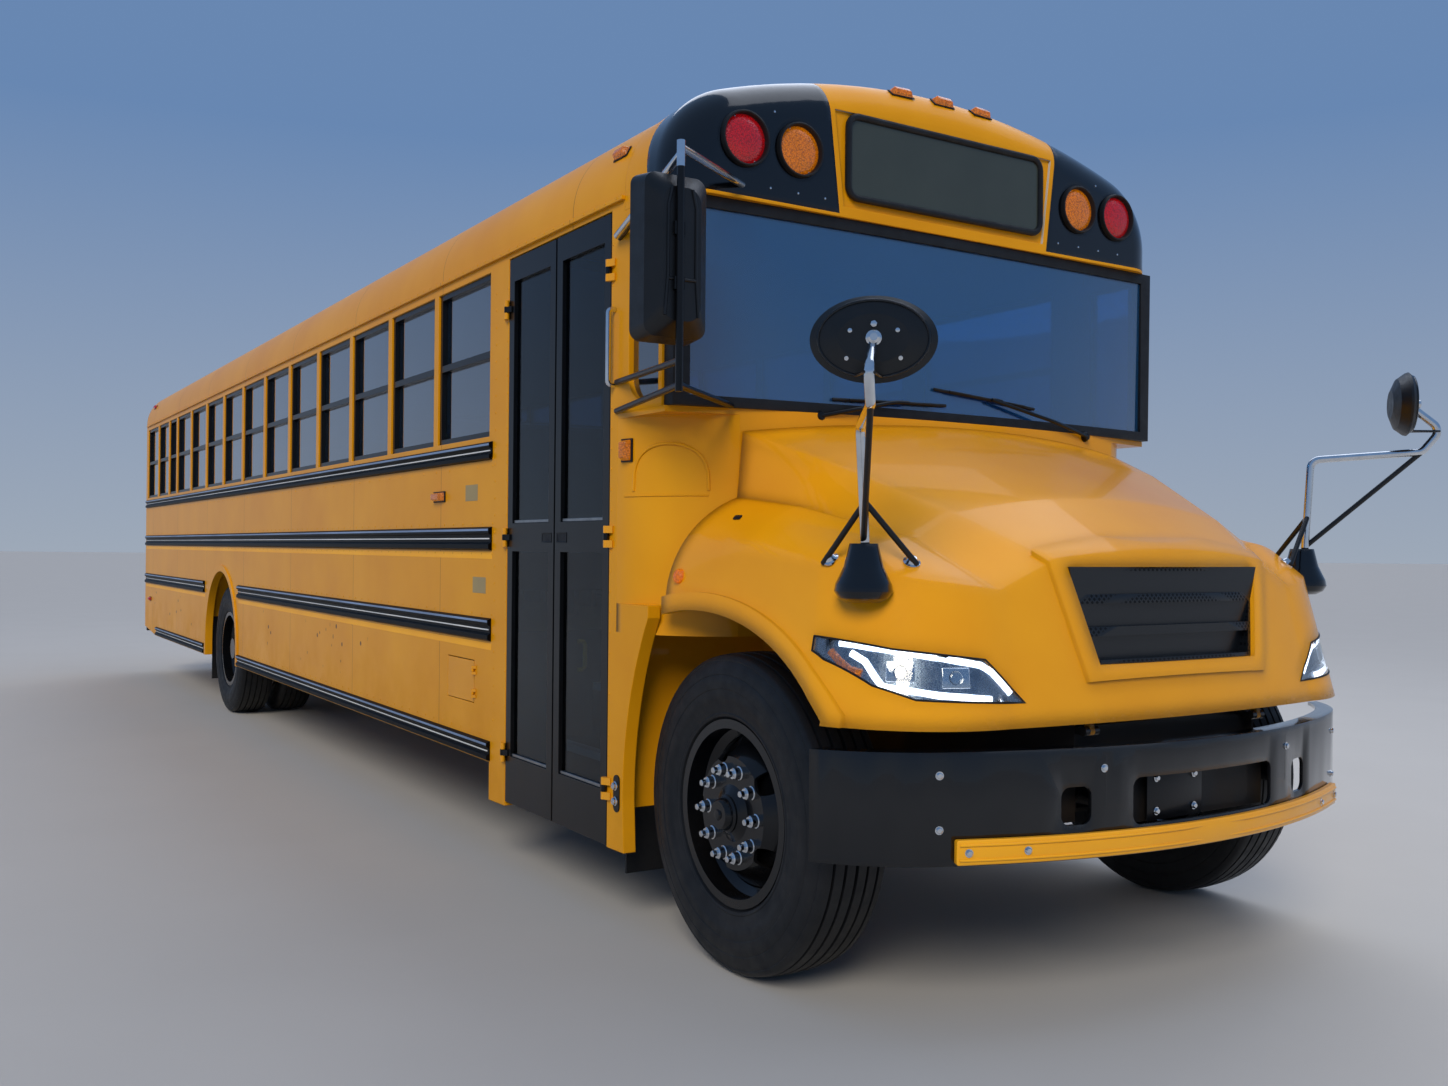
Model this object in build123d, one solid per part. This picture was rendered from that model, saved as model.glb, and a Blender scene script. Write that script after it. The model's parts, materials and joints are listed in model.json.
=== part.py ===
from build123d import *
from math import atan2, cos, pi, radians, sin, sqrt
import os

os.makedirs("parts", exist_ok=True)

# A conventional school bus at full size, in millimetres, +Z up, nose towards -Y.
# The origin is on the ground, under the middle of the whole vehicle.
# Lengthwise places are stations, counted rearwards from the front axle.

# Driving sizes of the whole vehicle
wheelbase = 7620
front_overhang = 980
rear_overhang = 3990
rear_bumper_depth = 110
body_width = 2438
roof_top = 3150
crown_radius = 3200
shoulder_radius = 340
skirt_z = 430
eave_z = 2640
wall = 50
floor_top = 1010
floor_thick = 60
pin_play = 0.05
panel_gap = 6
glass_thick = 6

# Wheels and running gear
tyre_radius = 522
tyre_width = 280
bead_radius = 286
flange_radius = 304
rim_width = 236
front_track_half = 1012
dual_outer_half = 1030
dual_spacing = 330
bolt_circle_radius = 143
kingpin_half = 850
kingpin_radius = 22
boss_radius = 50
boss_half = 62
spindle_radius = 42
drum_radius = 205
frame_half = 432
frame_depth = 260
frame_top = 860
frame_flange = 80
frame_web = 10
frame_front = -820
cross_pitch = 1100
spring_offset = 48
spring_width = 76

# Windows and doors
sill_z = 1871
head_z = 2600
first_post = 1834
bay_pitch = 720
bay_count = 11
post_width = 60
door_front = 699
door_back = 1655
door_low = 282
door_high = 2620
door_thick = 40

# Front of the body and the hood
cap_front = 225
cap_back = 600
cap_low = 2600
cap_round = 150
cowl_face = 240
cowl_bow = 90
cowl_side = 640
cowl_half = 950
cowl_wall = 40
firewall = 350
wheelhouse_z = 1075
shelf_low = 1850
hood_thick = 25
hood_low = 872
hood_hinge_station = -850
hood_hinge_z = 845
bumper_low = 490
bumper_high = 812
bumper_plate = 12

overall_length = front_overhang + wheelbase + rear_overhang + rear_bumper_depth
AXLE_F = front_overhang - overall_length / 2
AXLE_R = AXLE_F + wheelbase
REAR = AXLE_R + rear_overhang
HALF = body_width / 2
INNER = HALF - wall
rear_wall_thick = 60
roof_wall = 45
axle_z = tyre_radius
floor_low = floor_top - floor_thick
frame_low = frame_top - frame_depth

PARTS = {}
PANES = []
HINGES = []


def st(station):
    """Y of a station counted rearwards from the front axle."""
    return AXLE_F + station


def block(x, y, z):
    """Box between pairs of X, Y and Z."""
    size = (x[1] - x[0], y[1] - y[0], z[1] - z[0])
    return Pos((x[0] + x[1]) / 2, (y[0] + y[1]) / 2, (z[0] + z[1]) / 2) * Box(*size)


def outline(points):
    """Closed face from corners; a corner with a fourth value True is the middle of an arc."""
    edges, start, index = [], Vector(*points[0][:3]), 1
    closed = list(points) + [points[0]]
    while index < len(closed):
        if len(closed[index]) > 3:
            middle, end = Vector(*closed[index][:3]), Vector(*closed[index + 1][:3])
            edges.append(Edge.make_three_point_arc(start, middle, end))
            index += 2
        else:
            end = Vector(*closed[index][:3])
            edges.append(Edge.make_line(start, end))
            index += 1
        start = end
    return Face(Wire(edges))


def prism_x(points, x0, x1):
    """Outline of (Y, Z) corners, from X = x0 to x1."""
    face = outline([(x0, *p) for p in points])
    return extrude(face, amount=x1 - x0, dir=(1, 0, 0))


def prism_y(points, y0, y1):
    """Outline of (X, Z) corners, from Y = y0 to y1."""
    face = outline([(p[0], y0, p[1], *p[2:]) for p in points])
    return extrude(face, amount=y1 - y0, dir=(0, 1, 0))


def prism_z(points, z0, z1):
    """Outline of (X, Y) corners, from Z = z0 to z1."""
    face = outline([(p[0], p[1], z0, *p[2:]) for p in points])
    return extrude(face, amount=z1 - z0, dir=(0, 0, 1))


def cylinder(start, end, radius):
    """Round bar between two points."""
    a, b = Vector(*start), Vector(*end)
    return Solid.make_cylinder(radius, (b - a).length, Plane(origin=a, z_dir=b - a))


def bent_rod(points, radius, bend):
    """Round bar that follows points, with rounded bends."""
    path = FilletPolyline(*points, radius=bend)
    start = Plane(origin=path @ 0, z_dir=path % 0)
    return sweep(start * Circle(radius), path=path)


def both(*shapes):
    """Pieces and their mirror images across the bus."""
    return list(shapes) + [mirror(shape, about=Plane.YZ) for shape in shapes]


def fuse(shapes):
    return shapes[0].fuse(*shapes[1:]) if len(shapes) > 1 else shapes[0]


def put(name, *shapes):
    """Keeps the solids of one node."""
    solids = []
    for shape in shapes:
        for one in shape if isinstance(shape, (list, tuple)) else [shape]:
            solids += one.solids()
    PARTS[name] = solids[0] if len(solids) == 1 else Compound(children=solids)


def hinge(centre, axis, fixed, moving, length=60, pin=6, collar=11):
    """Lift-off hinge: a pin between two collars on a fixed arm, and a barrel on a moving arm.

    fixed and moving are the vectors from the pin to where each arm ends.
    """
    c, a = Vector(*centre), Vector(*axis)
    third = length / 3

    def sleeve(low, high, radius):
        return Solid.make_cylinder(radius, high - low, Plane(origin=c + a * low, z_dir=a))

    def arm(low, high, reach):
        way = Vector(*reach)
        across = way.cross(a).normalized() * (collar * 0.8)
        turns = ((-1, 0), (1, 0), (1, 1), (-1, 1))
        corners = [c + a * low + across * side + way * far for side, far in turns]
        face = Face(Wire.make_polygon(corners, close=True))
        return extrude(face, amount=high - low, dir=a)

    half = length / 2
    held = [sleeve(-half, half, pin)]
    for low, high in ((-half, -third / 2), (third / 2, half)):
        held += [sleeve(low, high, collar), arm(low, high, fixed)]
    inner = third / 2 - 1
    barrel = fuse([sleeve(-inner, inner, collar), arm(-inner, inner, moving)])
    return fuse(held), barrel - sleeve(-half, half, pin + pin_play)


def body_section(y, base, inset=0, rise=0):
    """Closed cross-section of the body: upright sides, round shoulders and a crowned roof."""
    half, top = HALF - inset, roof_top - inset + rise
    crown, shoulder = crown_radius - inset, shoulder_radius - inset
    crown_z = top - crown
    side_x = half - shoulder
    side_z = crown_z + sqrt((crown - shoulder) ** 2 - side_x**2)
    share = crown / (crown - shoulder)
    tangent = (side_x * share, crown_z + (side_z - crown_z) * share)
    turn = atan2(side_z - crown_z, side_x) / 2
    middle = (side_x + shoulder * cos(turn), side_z + shoulder * sin(turn))
    corners = [
        (-half, y, base),
        (half, y, base),
        (half, y, side_z),
        (middle[0], y, middle[1], True),
        (tangent[0], y, tangent[1]),
        (0, y, top, True),
        (-tangent[0], y, tangent[1]),
        (-middle[0], y, middle[1], True),
        (-half, y, side_z),
    ]
    return outline(corners)


def body_prism(y0, y1, base, inset=0):
    return extrude(body_section(y0, base, inset), amount=y1 - y0, dir=(0, 1, 0))


# Chassis: channel rails with cross-members
def make_frame():
    y0, y1 = st(frame_front), REAR - rear_wall_thick
    inner = frame_half - frame_flange
    web = block((frame_half - frame_web, frame_half), (y0, y1), (frame_low, frame_top))
    low = block((inner, frame_half), (y0, y1), (frame_low, frame_low + frame_web))
    high = block((inner, frame_half), (y0, y1), (frame_top - frame_web, frame_top))
    pieces = both(web, low, high)
    span = frame_half - frame_web
    first, last = st(1000), y1 - 100
    count = round((last - first) / cross_pitch)
    places = [y0 + 60] + [first + (last - first) * i / count for i in range(count + 1)]
    for y in places:
        pieces.append(block((-span, span), (y - 35, y + 35), (frame_top - 100, frame_top - frame_web)))
    put("frame_rails", fuse(pieces))


engine_half, engine_low, engine_high = 300, 640, 1440
engine_front, engine_back = -560, 330


def make_engine():
    body = block((-engine_half, engine_half), (st(engine_front), st(engine_back)), (engine_low, engine_high))
    ear_z = (frame_low + 90, frame_low + 150)
    ears = block((-frame_half + frame_web, frame_half - frame_web), (st(-200), st(-80)), ear_z)
    put("engine_block", fuse([body, ears]))


def make_driveline():
    pinion_y, pinion_z = AXLE_R - 215, axle_z + 60
    gearbox = cylinder((0, st(engine_back), 725), (0, st(engine_back + 570), 725), 130)
    shaft = cylinder((0, st(engine_back + 560), 700), (0, pinion_y - 30, pinion_z), 45)
    flange = cylinder((0, pinion_y - 50, pinion_z), (0, pinion_y, pinion_z), 70)
    put("driveline", fuse([gearbox, shaft, flange]))


beam_low, beam_high = 395, 480
beam_half_depth = 45


def make_front_axle():
    """Forged beam with a dropped middle, a boss and a kingpin at each end."""
    half = [
        (0, beam_low),
        (600, beam_low),
        (740, axle_z - 40),
        (kingpin_half, axle_z - 40),
        (kingpin_half, axle_z + 40),
        (700, axle_z + 40),
        (560, beam_high),
        (0, beam_high),
    ]
    bar = prism_y(half, AXLE_F - beam_half_depth, AXLE_F + beam_half_depth)
    foot, head = axle_z - boss_half, axle_z + boss_half
    boss = cylinder((kingpin_half, AXLE_F, foot), (kingpin_half, AXLE_F, head), boss_radius)
    pin_low, pin_high = foot - 42, head + 42
    pin = cylinder((kingpin_half, AXLE_F, pin_low), (kingpin_half, AXLE_F, pin_high), kingpin_radius)
    put("axles", fuse(both(bar, boss, pin)))


knuckle_plate = 62
knuckle_back = 92
spindle_end = 275


def make_knuckle(side):
    """Yoke that turns on the kingpin and carries the wheel's spindle."""
    x = kingpin_half
    pieces = []
    for low, high in ((-boss_half - 40, -boss_half - 6), (boss_half + 6, boss_half + 40)):
        z = (axle_z + low, axle_z + high)
        pieces.append(cylinder((x, AXLE_F, z[0]), (x, AXLE_F, z[1]), boss_radius))
        pieces.append(block((x, x + knuckle_back), (AXLE_F - 45, AXLE_F + 45), z))
    reach = boss_half + 40
    upright = block(
        (x + knuckle_plate, x + knuckle_back), (AXLE_F - 45, AXLE_F + 45), (axle_z - reach, axle_z + reach)
    )
    spindle = cylinder((x + knuckle_plate, AXLE_F, axle_z), (x + spindle_end, AXLE_F, axle_z), spindle_radius)
    arm = block((x - 25, x + 25), (AXLE_F + 40, AXLE_F + 190), (axle_z - reach, axle_z - boss_half - 6))
    whole = fuse(pieces + [upright, spindle, arm])
    hole = cylinder((x, AXLE_F, axle_z - 300), (x, AXLE_F, axle_z + 300), kingpin_radius + pin_play)
    whole = whole - hole
    put("knuckle_" + ("left" if side > 0 else "right"), whole if side > 0 else mirror(whole, about=Plane.YZ))


rear_tube_radius = 70
rear_spindle_radius = 55
rear_spindle_end = 1105
rear_shoulder = 640


def make_rear_axle():
    """Housing with a round centre, two tubes and a spindle at each end."""
    centre = cylinder((-130, AXLE_R, axle_z), (130, AXLE_R, axle_z), 205)
    nose = cylinder((0, AXLE_R, axle_z + 60), (0, AXLE_R - 215, axle_z + 60), 90)
    tube = cylinder((-rear_shoulder, AXLE_R, axle_z), (rear_shoulder, AXLE_R, axle_z), rear_tube_radius)
    end = cylinder((rear_shoulder, AXLE_R, axle_z), (rear_spindle_end, AXLE_R, axle_z), rear_spindle_radius)
    ends = both(end)
    put("axles", PARTS["axles"], fuse([centre, nose, tube] + ends))


def make_springs():
    """Leaf packs beside the rails, on the axles, with a hanger at each end."""
    solids = []
    # axle, seat height, reach to each eye, height of the eyes, thickness
    packs = [(AXLE_F, beam_high, 620, 600, 55), (AXLE_R, axle_z + rear_tube_radius, 700, 670, 70)]
    x0 = frame_half + spring_offset - spring_width / 2
    x1 = x0 + spring_width
    for axle, seat, reach, eye, thick in packs:
        leaf = prism_x(
            [
                (axle - reach, eye - 12),
                (axle - 120, seat),
                (axle + 120, seat),
                (axle + reach, eye - 12),
                (axle + reach, eye + 12),
                (axle + 80, seat + thick),
                (axle - 80, seat + thick),
                (axle - reach, eye + 12),
            ],
            x0,
            x1,
        )
        ends = [
            block((frame_half, x1), (axle + side * reach - 30, axle + side * reach + 30), (eye - 30, eye + 110))
            for side in (-1, 1)
        ]
        solids += both(fuse([leaf] + ends))
    put("leaf_springs", solids)


def revolve_x(points, x, y, z):
    """Turned piece about an axle along X: corners are (along the axle, radius)."""
    face = outline([(x + p[0], y, z + p[1], *p[2:]) for p in points])
    return revolve(face, axis=Axis((x, y, z), (1, 0, 0)))


def make_tyre(x, y):
    """Tyre with a flat tread, round shoulders and beads on the rim; its inside is open to the rim."""
    half, tread = tyre_width / 2, tyre_width / 2 - 28
    bead = rim_width / 2 - 14
    corners = [
        (-bead, bead_radius),
        (-bead, flange_radius + 2),
        (-half + 4, bead_radius + 90),
        (-half, bead_radius + 130),
        (-half + 4, tyre_radius - 45),
        (-tread, tyre_radius - 4),
        (0, tyre_radius),
        (tread, tyre_radius - 4),
        (half - 4, tyre_radius - 45),
        (half, bead_radius + 130),
        (half - 4, bead_radius + 90),
        (bead, flange_radius + 2),
        (bead, bead_radius),
        (bead - 20, bead_radius),
        (half - 24, bead_radius + 100),
        (tread - 4, tyre_radius - 34),
        (-tread + 4, tyre_radius - 34),
        (-half + 24, bead_radius + 100),
        (-bead + 20, bead_radius),
    ]
    return revolve_x(corners, x, y, axle_z)


hand_hole_count = 5
hand_hole_radius = 38
hand_hole_circle = 205
disc_thick = 12


def rim_profile():
    """Section of a wheel's barrel: flanges, bead seats and a drop centre."""
    side, lip = rim_width / 2, 14
    return [
        (-side, flange_radius),
        (-side + lip, flange_radius),
        (-side + lip, bead_radius),
        (-side + 70, bead_radius),
        (-side + 90, bead_radius - 26),
        (side - 90, bead_radius - 26),
        (side - 70, bead_radius),
        (side - lip, bead_radius),
        (side - lip, flange_radius),
        (side, flange_radius),
        (side, bead_radius - 12),
        (side - 66, bead_radius - 12),
        (side - 86, bead_radius - 38),
        (-side + 86, bead_radius - 38),
        (-side + 66, bead_radius - 12),
        (-side, bead_radius - 12),
    ]


def make_disc(x, y, root, face, hub_radius):
    """Dished disc from the barrel at offset root to the bolting face at offset face."""
    outer = bead_radius - 34
    way = 1 if face > root else -1
    corners = [
        (root, outer),
        (root + way * disc_thick, outer),
        (face + way * disc_thick, bolt_circle_radius + 40),
        (face + way * disc_thick, hub_radius),
        (face, hub_radius),
        (face, bolt_circle_radius + 38),
    ]
    disc = revolve_x(corners, x, y, axle_z)
    low, high = min(root, face) - 40, max(root, face) + 40
    for i in range(hand_hole_count):
        turn = 2 * pi * i / hand_hole_count
        cy, cz = y + hand_hole_circle * cos(turn), axle_z + hand_hole_circle * sin(turn)
        disc = disc - cylinder((x + low, cy, cz), (x + high, cy, cz), hand_hole_radius)
    return disc


def make_front_wheel(side):
    """Rim, disc, hub and drum in one piece; the hub turns on the knuckle's spindle."""
    x, y = front_track_half, AXLE_F
    barrel = revolve_x(rim_profile(), x, y, axle_z)
    bore = spindle_radius + pin_play
    disc = make_disc(x, y, 10, 100, bore)
    hub_back = kingpin_half + knuckle_back + 6 - x
    hub = revolve_x(
        [
            (hub_back, bore),
            (hub_back, 95),
            (104, 95),
            (112, 92),
            (124, 70),
            (130, 62),
            (130, 0),
            (kingpin_half + spindle_end + 4 - x, 0),
            (kingpin_half + spindle_end + 4 - x, bore),
        ],
        x,
        y,
        axle_z,
    )
    drum = revolve_x(
        [(hub_back, 90), (hub_back, 120), (hub_back + 40, drum_radius), (56, drum_radius), (66, 120), (66, 90)],
        x,
        y,
        axle_z,
    )
    wheel = fuse([barrel, disc, hub, drum])
    tyre = make_tyre(x, y)
    name = "left" if side > 0 else "right"
    put("front_rim_" + name, wheel if side > 0 else mirror(wheel, about=Plane.YZ))
    put("front_tyre_" + name, tyre if side > 0 else mirror(tyre, about=Plane.YZ))


def make_rear_wheels(side):
    """Two rims with their discs back to back on one hub and drum."""
    out, inner = dual_outer_half, dual_outer_half - dual_spacing
    y = AXLE_R
    face = (out + inner) / 2
    bore = rear_spindle_radius + pin_play
    barrels = [revolve_x(rim_profile(), x, y, axle_z) for x in (out, inner)]
    discs = [
        make_disc(out, y, -10, face + disc_thick / 2 - out, bore),
        make_disc(inner, y, 10, face - disc_thick / 2 - inner, bore),
    ]
    start = rear_shoulder + 6
    hub = revolve_x(
        [
            (start, bore),
            (start, drum_radius - 20),
            (start + 20, drum_radius),
            (face - 20, drum_radius),
            (face - 12, 120),
            (face + 40, 110),
            (rear_spindle_end - 8, 96),
            (rear_spindle_end + 20, 84),
            (rear_spindle_end + 20, 0),
            (rear_spindle_end + 6, 0),
            (rear_spindle_end + 6, bore),
        ],
        0,
        y,
        axle_z,
    )
    wheel = fuse(barrels + discs + [hub])
    tyres = [make_tyre(x, y) for x in (out, inner)]
    name = "left" if side > 0 else "right"
    put("rear_rims_" + name, wheel if side > 0 else mirror(wheel, about=Plane.YZ))
    put("rear_tyres_" + name, tyres if side > 0 else [mirror(t, about=Plane.YZ) for t in tyres])


# Floor, with cross sills on the rails and openings for the steps and the rear wheels
house_reach = 610
house_inner = 520
house_top = 1150
well_inner = -560
well_front = 665
well_back = 1700
well_end = 15
step_low = 300
sill_stations = [710, 1750, 2850, 3950, 5050, 6150, 6950, 7620, 8290, 9300, 10400, 11480]
pillar_back = 1834
arch_rear = 600


def make_floor():
    front = cowl_side + 25
    slab = block((-INNER, INNER), (st(front), REAR - rear_wall_thick), (floor_low, floor_top))
    slab = slab - block((-INNER, well_inner), (st(front), st(well_back)), (floor_low, floor_top))
    toe = block((-540, 540), (st(firewall + cowl_wall), st(front)), (floor_low, floor_top))
    pieces = [slab, toe]
    for station in sill_stations:
        over_wheels = abs(station - wheelbase) < house_reach + 90
        half = house_inner if over_wheels else INNER
        low_x = well_inner if door_front - 80 < station < door_back + 80 else -half
        pieces.append(block((low_x, half), (st(station) - 40, st(station) + 40), (frame_top, floor_low)))
    floor = fuse(pieces)
    for x0, x1 in ((house_inner, INNER), (-INNER, -house_inner)):
        floor = floor - block((x0, x1), (AXLE_R - house_reach, AXLE_R + house_reach), (frame_top, floor_top))
    put("body_floor", floor)


def house_outline(grow):
    r = house_reach - grow
    low = frame_top - 100
    return [
        (AXLE_R - r, low),
        (AXLE_R - r, house_top - 380),
        (AXLE_R - r * 0.72, house_top - 95 - grow, True),
        (AXLE_R, house_top - grow),
        (AXLE_R + r * 0.72, house_top - 95 - grow, True),
        (AXLE_R + r, house_top - 380),
        (AXLE_R + r, low),
    ]


def make_wheel_housings():
    outer = prism_x(house_outline(0), house_inner, INNER)
    inner = prism_x(house_outline(12) , house_inner + 12, INNER)
    shell = outer - inner
    PARTS["body_floor"] = fuse([PARTS["body_floor"]] + both(shell))


def window_stations():
    """Start and end of each side window, between the posts."""
    posts = [first_post + bay_pitch * i for i in range(bay_count + 1)]
    posts += [posts[-1] + 450, posts[-1] + 1080, posts[-1] + 1770]
    half = post_width / 2
    return [(a + half, b - half) for a, b in zip(posts[:-1], posts[1:])]


def arch_points(grow=0):
    """Front wheel arch, or a wider one: over the hood's fender, then down the body's front pillar."""
    return [
        (st(-560 - grow), 200),
        (st(-528 - grow), 885 + grow / 3),
        (st(-52), 1156 + grow, True),
        (st(403), 1137 + grow),
        (st(519 + grow), 875, True),
        (st(579 + grow), 474),
        (st(567 + grow), 200),
    ]


trim_width, trim_proud = 52, 10


def rear_arch(grow, low=skirt_z):
    """Outline of the rear wheel arch, or of the trim round it."""
    reach, spring = arch_rear + grow, 560
    return [
        (AXLE_R - reach, low),
        (AXLE_R - reach, spring),
        (AXLE_R, spring + reach, True),
        (AXLE_R + reach, spring),
        (AXLE_R + reach, low),
    ]


def make_side_wall(side):
    top = [(st(320), shelf_low + 21), (st(320), cap_low), (st(cap_back), cap_low), (st(cap_back), eave_z)]
    tail = [(REAR - rear_wall_thick, eave_z), (REAR - rear_wall_thick, skirt_z + 60), (st(10900), skirt_z)]
    front = [(st(403), 1137), (st(403), 1180), (st(cowl_side), 1180), (st(cowl_side), shelf_low + 21)]
    arch = [(st(579), 474), (st(519), 875, True)]
    if side < 0:
        low = [(st(pillar_back), skirt_z), (st(pillar_back), 265), (st(567), 285)]
    else:
        low = [(st(575), skirt_z)]
    x0, x1 = (INNER, HALF) if side > 0 else (-HALF, -INNER)
    skin = prism_x(top + tail + low + arch + front, x0, x1)
    cuts = []
    for a, b in window_stations():
        cuts.append(block((x0, x1), (st(a), st(b)), (sill_z, head_z)))
    cuts.append(prism_x(quarter_outline(0), x0, x1))
    if side < 0:
        cuts.append(block((x0, x1), (st(door_front), st(door_back)), (200, door_high)))
    else:
        cuts.append(block((x0, x1), (st(driver_window[0]), st(driver_window[1])), (sill_z, head_z)))
    cuts.append(prism_x(rear_arch(0, skirt_z - 100), x0, x1))
    if side < 0:
        a, b, c, d = fuel_door
        cuts.append(block((x0, x1), (st(a), st(b)), (c, d)))
    cuts.append(prism_z(cowl_plan(0), wheelhouse_z, shelf_low))
    band = (HALF, HALF + trim_proud)
    trim = prism_x(rear_arch(trim_width), *band) - prism_x(rear_arch(0), *band)
    if side < 0:
        trim = mirror(trim, about=Plane.YZ)
    put("side_wall_" + ("left" if side > 0 else "right"), fuse([skin.cut(*cuts), trim]))


driver_window = (790, 1700)
fuel_door = (2016, 2354, 671, 866)


def quarter_outline(inset):
    """Small fixed side glass behind the windshield, with a rounded lower rear corner."""
    a, b, c, d = 345 + inset, 560 - inset, 1905 + inset, 2560 - inset
    return [
        (st(a), c),
        (st(b - 100), c),
        (st(b - 29), c + 29, True),
        (st(b), c + 100),
        (st(b), d),
        (st(a), d),
    ]


hatch_stations = (3300, 8600)
hatch_half = 300


def make_roof():
    shell = body_prism(st(cap_back), REAR - rear_wall_thick, eave_z)
    shell = shell - body_prism(st(cap_back) - 1, REAR, eave_z - 1, roof_wall)
    for station in hatch_stations:
        y = st(station)
        shell = shell - block((-hatch_half, hatch_half), (y - hatch_half, y + hatch_half), (2900, 3300))
    lips = both(block((HALF, HALF + 14), (st(cap_back), REAR - rear_wall_thick), (eave_z, eave_z + 16)))
    put("roof", fuse([shell] + lips))


rear_door_half = 430
rear_door_low, rear_door_high = 1016, 2560
rear_window = (540, 1080)


def make_rear_wall():
    wall_y = REAR - rear_wall_thick
    slab = body_prism(wall_y, REAR, skirt_z + 60)
    cuts = [block((-rear_door_half, rear_door_half), (wall_y, REAR), (rear_door_low, rear_door_high))]
    for x0, x1 in (rear_window, (-rear_window[1], -rear_window[0])):
        cuts.append(block((x0, x1), (wall_y, REAR), (sill_z, head_z - 60)))
    put("rear_wall", slab.cut(*cuts))


def make_rear_door():
    """Emergency door with its two lights, on hinges at the bus's right side."""
    y0, y1 = REAR - rear_wall_thick, REAR
    x = rear_door_half - panel_gap
    z0, z1 = rear_door_low + panel_gap, rear_door_high - panel_gap
    slab = block((-x, x), (y0 + 10, y1), (z0, z1))
    lights = [(sill_z, z1 - 90), (1190, 1560)]
    panes = []
    for low, high in lights:
        hole = block((-x + 90, x - 90), (y0, y1), (low, high))
        slab = slab - hole
        panes.append(block((-x + 90, x - 90), (y1 - 20 - glass_thick, y1 - 20), (low, high)))
    fixed, moving = [], []
    for z in (1200, 1788, 2380):
        pin = (-rear_door_half + panel_gap / 2, REAR + 12, z)
        one, other = hinge(pin, (0, 0, 1), (-30, -12 + 6, 0), (30, -12 + 6, 0), length=90)
        fixed.append(one - block((-2000, 2000), (y0, y1), (0, 3300)))
        moving.append(other - block((-2000, 2000), (y0, y1), (0, 3300)))
    put("rear_door", fuse([slab] + moving))
    put("rear_door_glass", panes)
    HINGES.extend(fixed)


brow_rise = 32
panel_low = 2612
panel_thick = 14
sign_sink = 12
sign_depth = 10
sign_half = 480
sign_low, sign_high = 2692, 2965
lamp_radius = 100
lamp_height = 2810
lamp_places = (949, 715)
lamp_proud, lamp_sink = 12, 8


def cap_form(inset):
    """The cap as a solid: the roof's section at the back, rising to a brow at the front."""
    front = body_section(st(cap_front + inset), cap_low, inset, brow_rise)
    solid = loft([front, body_section(st(cap_back), cap_low, inset)], ruled=True)
    face = solid.faces().sort_by(Axis.Y)[0]
    low = face.edges().sort_by(Axis.Z)[0]
    return solid.fillet(cap_round - inset, [e for e in face.edges() if e != low])


def make_front_cap():
    """Rounded roof cap over the windshield, with black panels let into its corners.

    The panels carry the warning lamps in round sinks. Between them is the sign, under the brow.
    """
    outer = cap_form(0)
    ahead, y = st(0), st(cap_front)
    between = prism_y([(532, panel_low), (1400, panel_low), (1400, 3300), (616, 3300)], ahead, st(cap_back))
    corner = prism_x([(ahead, panel_low), (st(417), panel_low), (st(575), 3300), (ahead, 3300)], 0, 1400)
    plates = both((outer - cap_form(panel_thick)) & between & corner)
    shell = (outer - cap_form(roof_wall)).cut(*plates)
    face = [(-512, 2640), (512, 2640), (556, 2990), (-556, 2990)]
    shell = shell - prism_y(face, ahead, y + sign_sink)
    lamps, sinks = [], []
    for x in lamp_places:
        front, middle, back = ((x, place, lamp_height) for place in (ahead, y - lamp_proud, y + lamp_sink))
        lamps += both(cylinder(middle, back, lamp_radius))
        sinks += both(cylinder(front, back, lamp_radius))
    put("front_cap", shell)
    put("lamp_panels", [plate.cut(*sinks) for plate in plates])
    put("warning_lamps", lamps)
    sign = (y + sign_sink - sign_depth, y + sign_sink)
    PANES.append(block((-sign_half, sign_half), sign, (sign_low, sign_high)))


def cowl_plan(inset):
    """Plan of the body's front below the windshield: bowed face and large round corners."""
    side = st(cowl_side)
    wide, deep = HALF - cowl_half, cowl_side - cowl_face
    radius = (wide**2 + deep**2) / (2 * wide)
    centre = HALF - radius
    turn = -atan2(deep, cowl_half - centre)
    reach = radius - inset
    arc = [(centre + reach * cos(a), side + reach * sin(a)) for a in (0, turn / 2, turn)]
    right = [arc[0], (*arc[1], True), arc[2]]
    left = [(-p[0], *p[1:]) for p in right]
    return left + [(0, st(cowl_face - cowl_bow + inset), True)] + list(reversed(right))


toe_half = 540


def make_cowl():
    """Rounded front body under the windshield, with the firewall and the backs of the wheel spaces."""
    shell = prism_z(cowl_plan(0), wheelhouse_z, shelf_low) - prism_z(
        cowl_plan(cowl_wall), wheelhouse_z + 25, shelf_low
    )
    shell = shell - block((-toe_half - 30, toe_half + 30), (st(0), st(firewall)), (0, engine_high + 60))
    back = st(cowl_side)
    wall_y = (st(firewall), st(firewall + cowl_wall))
    toe = block((-toe_half - 30, toe_half + 30), wall_y, (frame_top + 30, engine_high + 60))
    lid_y = (st(cowl_face - 20), wall_y[1])
    lid = block((-toe_half - 30, toe_half + 30), lid_y, (engine_high + 60, engine_high + 85))
    sides = both(block((toe_half, toe_half + 30), (st(firewall), back + 25), (floor_low, wheelhouse_z + 25)))
    panels = both(block((toe_half + 30, INNER), (back, back + 25), (skirt_z, wheelhouse_z + 25)))
    lid = lid & prism_z(cowl_plan(0), 0, 2000)
    shelf = prism_z(
        [
            (-HALF, st(300)),
            (0, st(150), True),
            (HALF, st(300)),
            (HALF, back),
            (INNER, back),
            (cowl_half - 20, st(firewall + cowl_wall)),
            (-cowl_half + 20, st(firewall + cowl_wall)),
            (-INNER, back),
            (-HALF, back),
        ],
        shelf_low,
        shelf_low + 21,
    )
    put("cowl", fuse([shell, toe, lid, shelf] + sides + panels))


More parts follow.
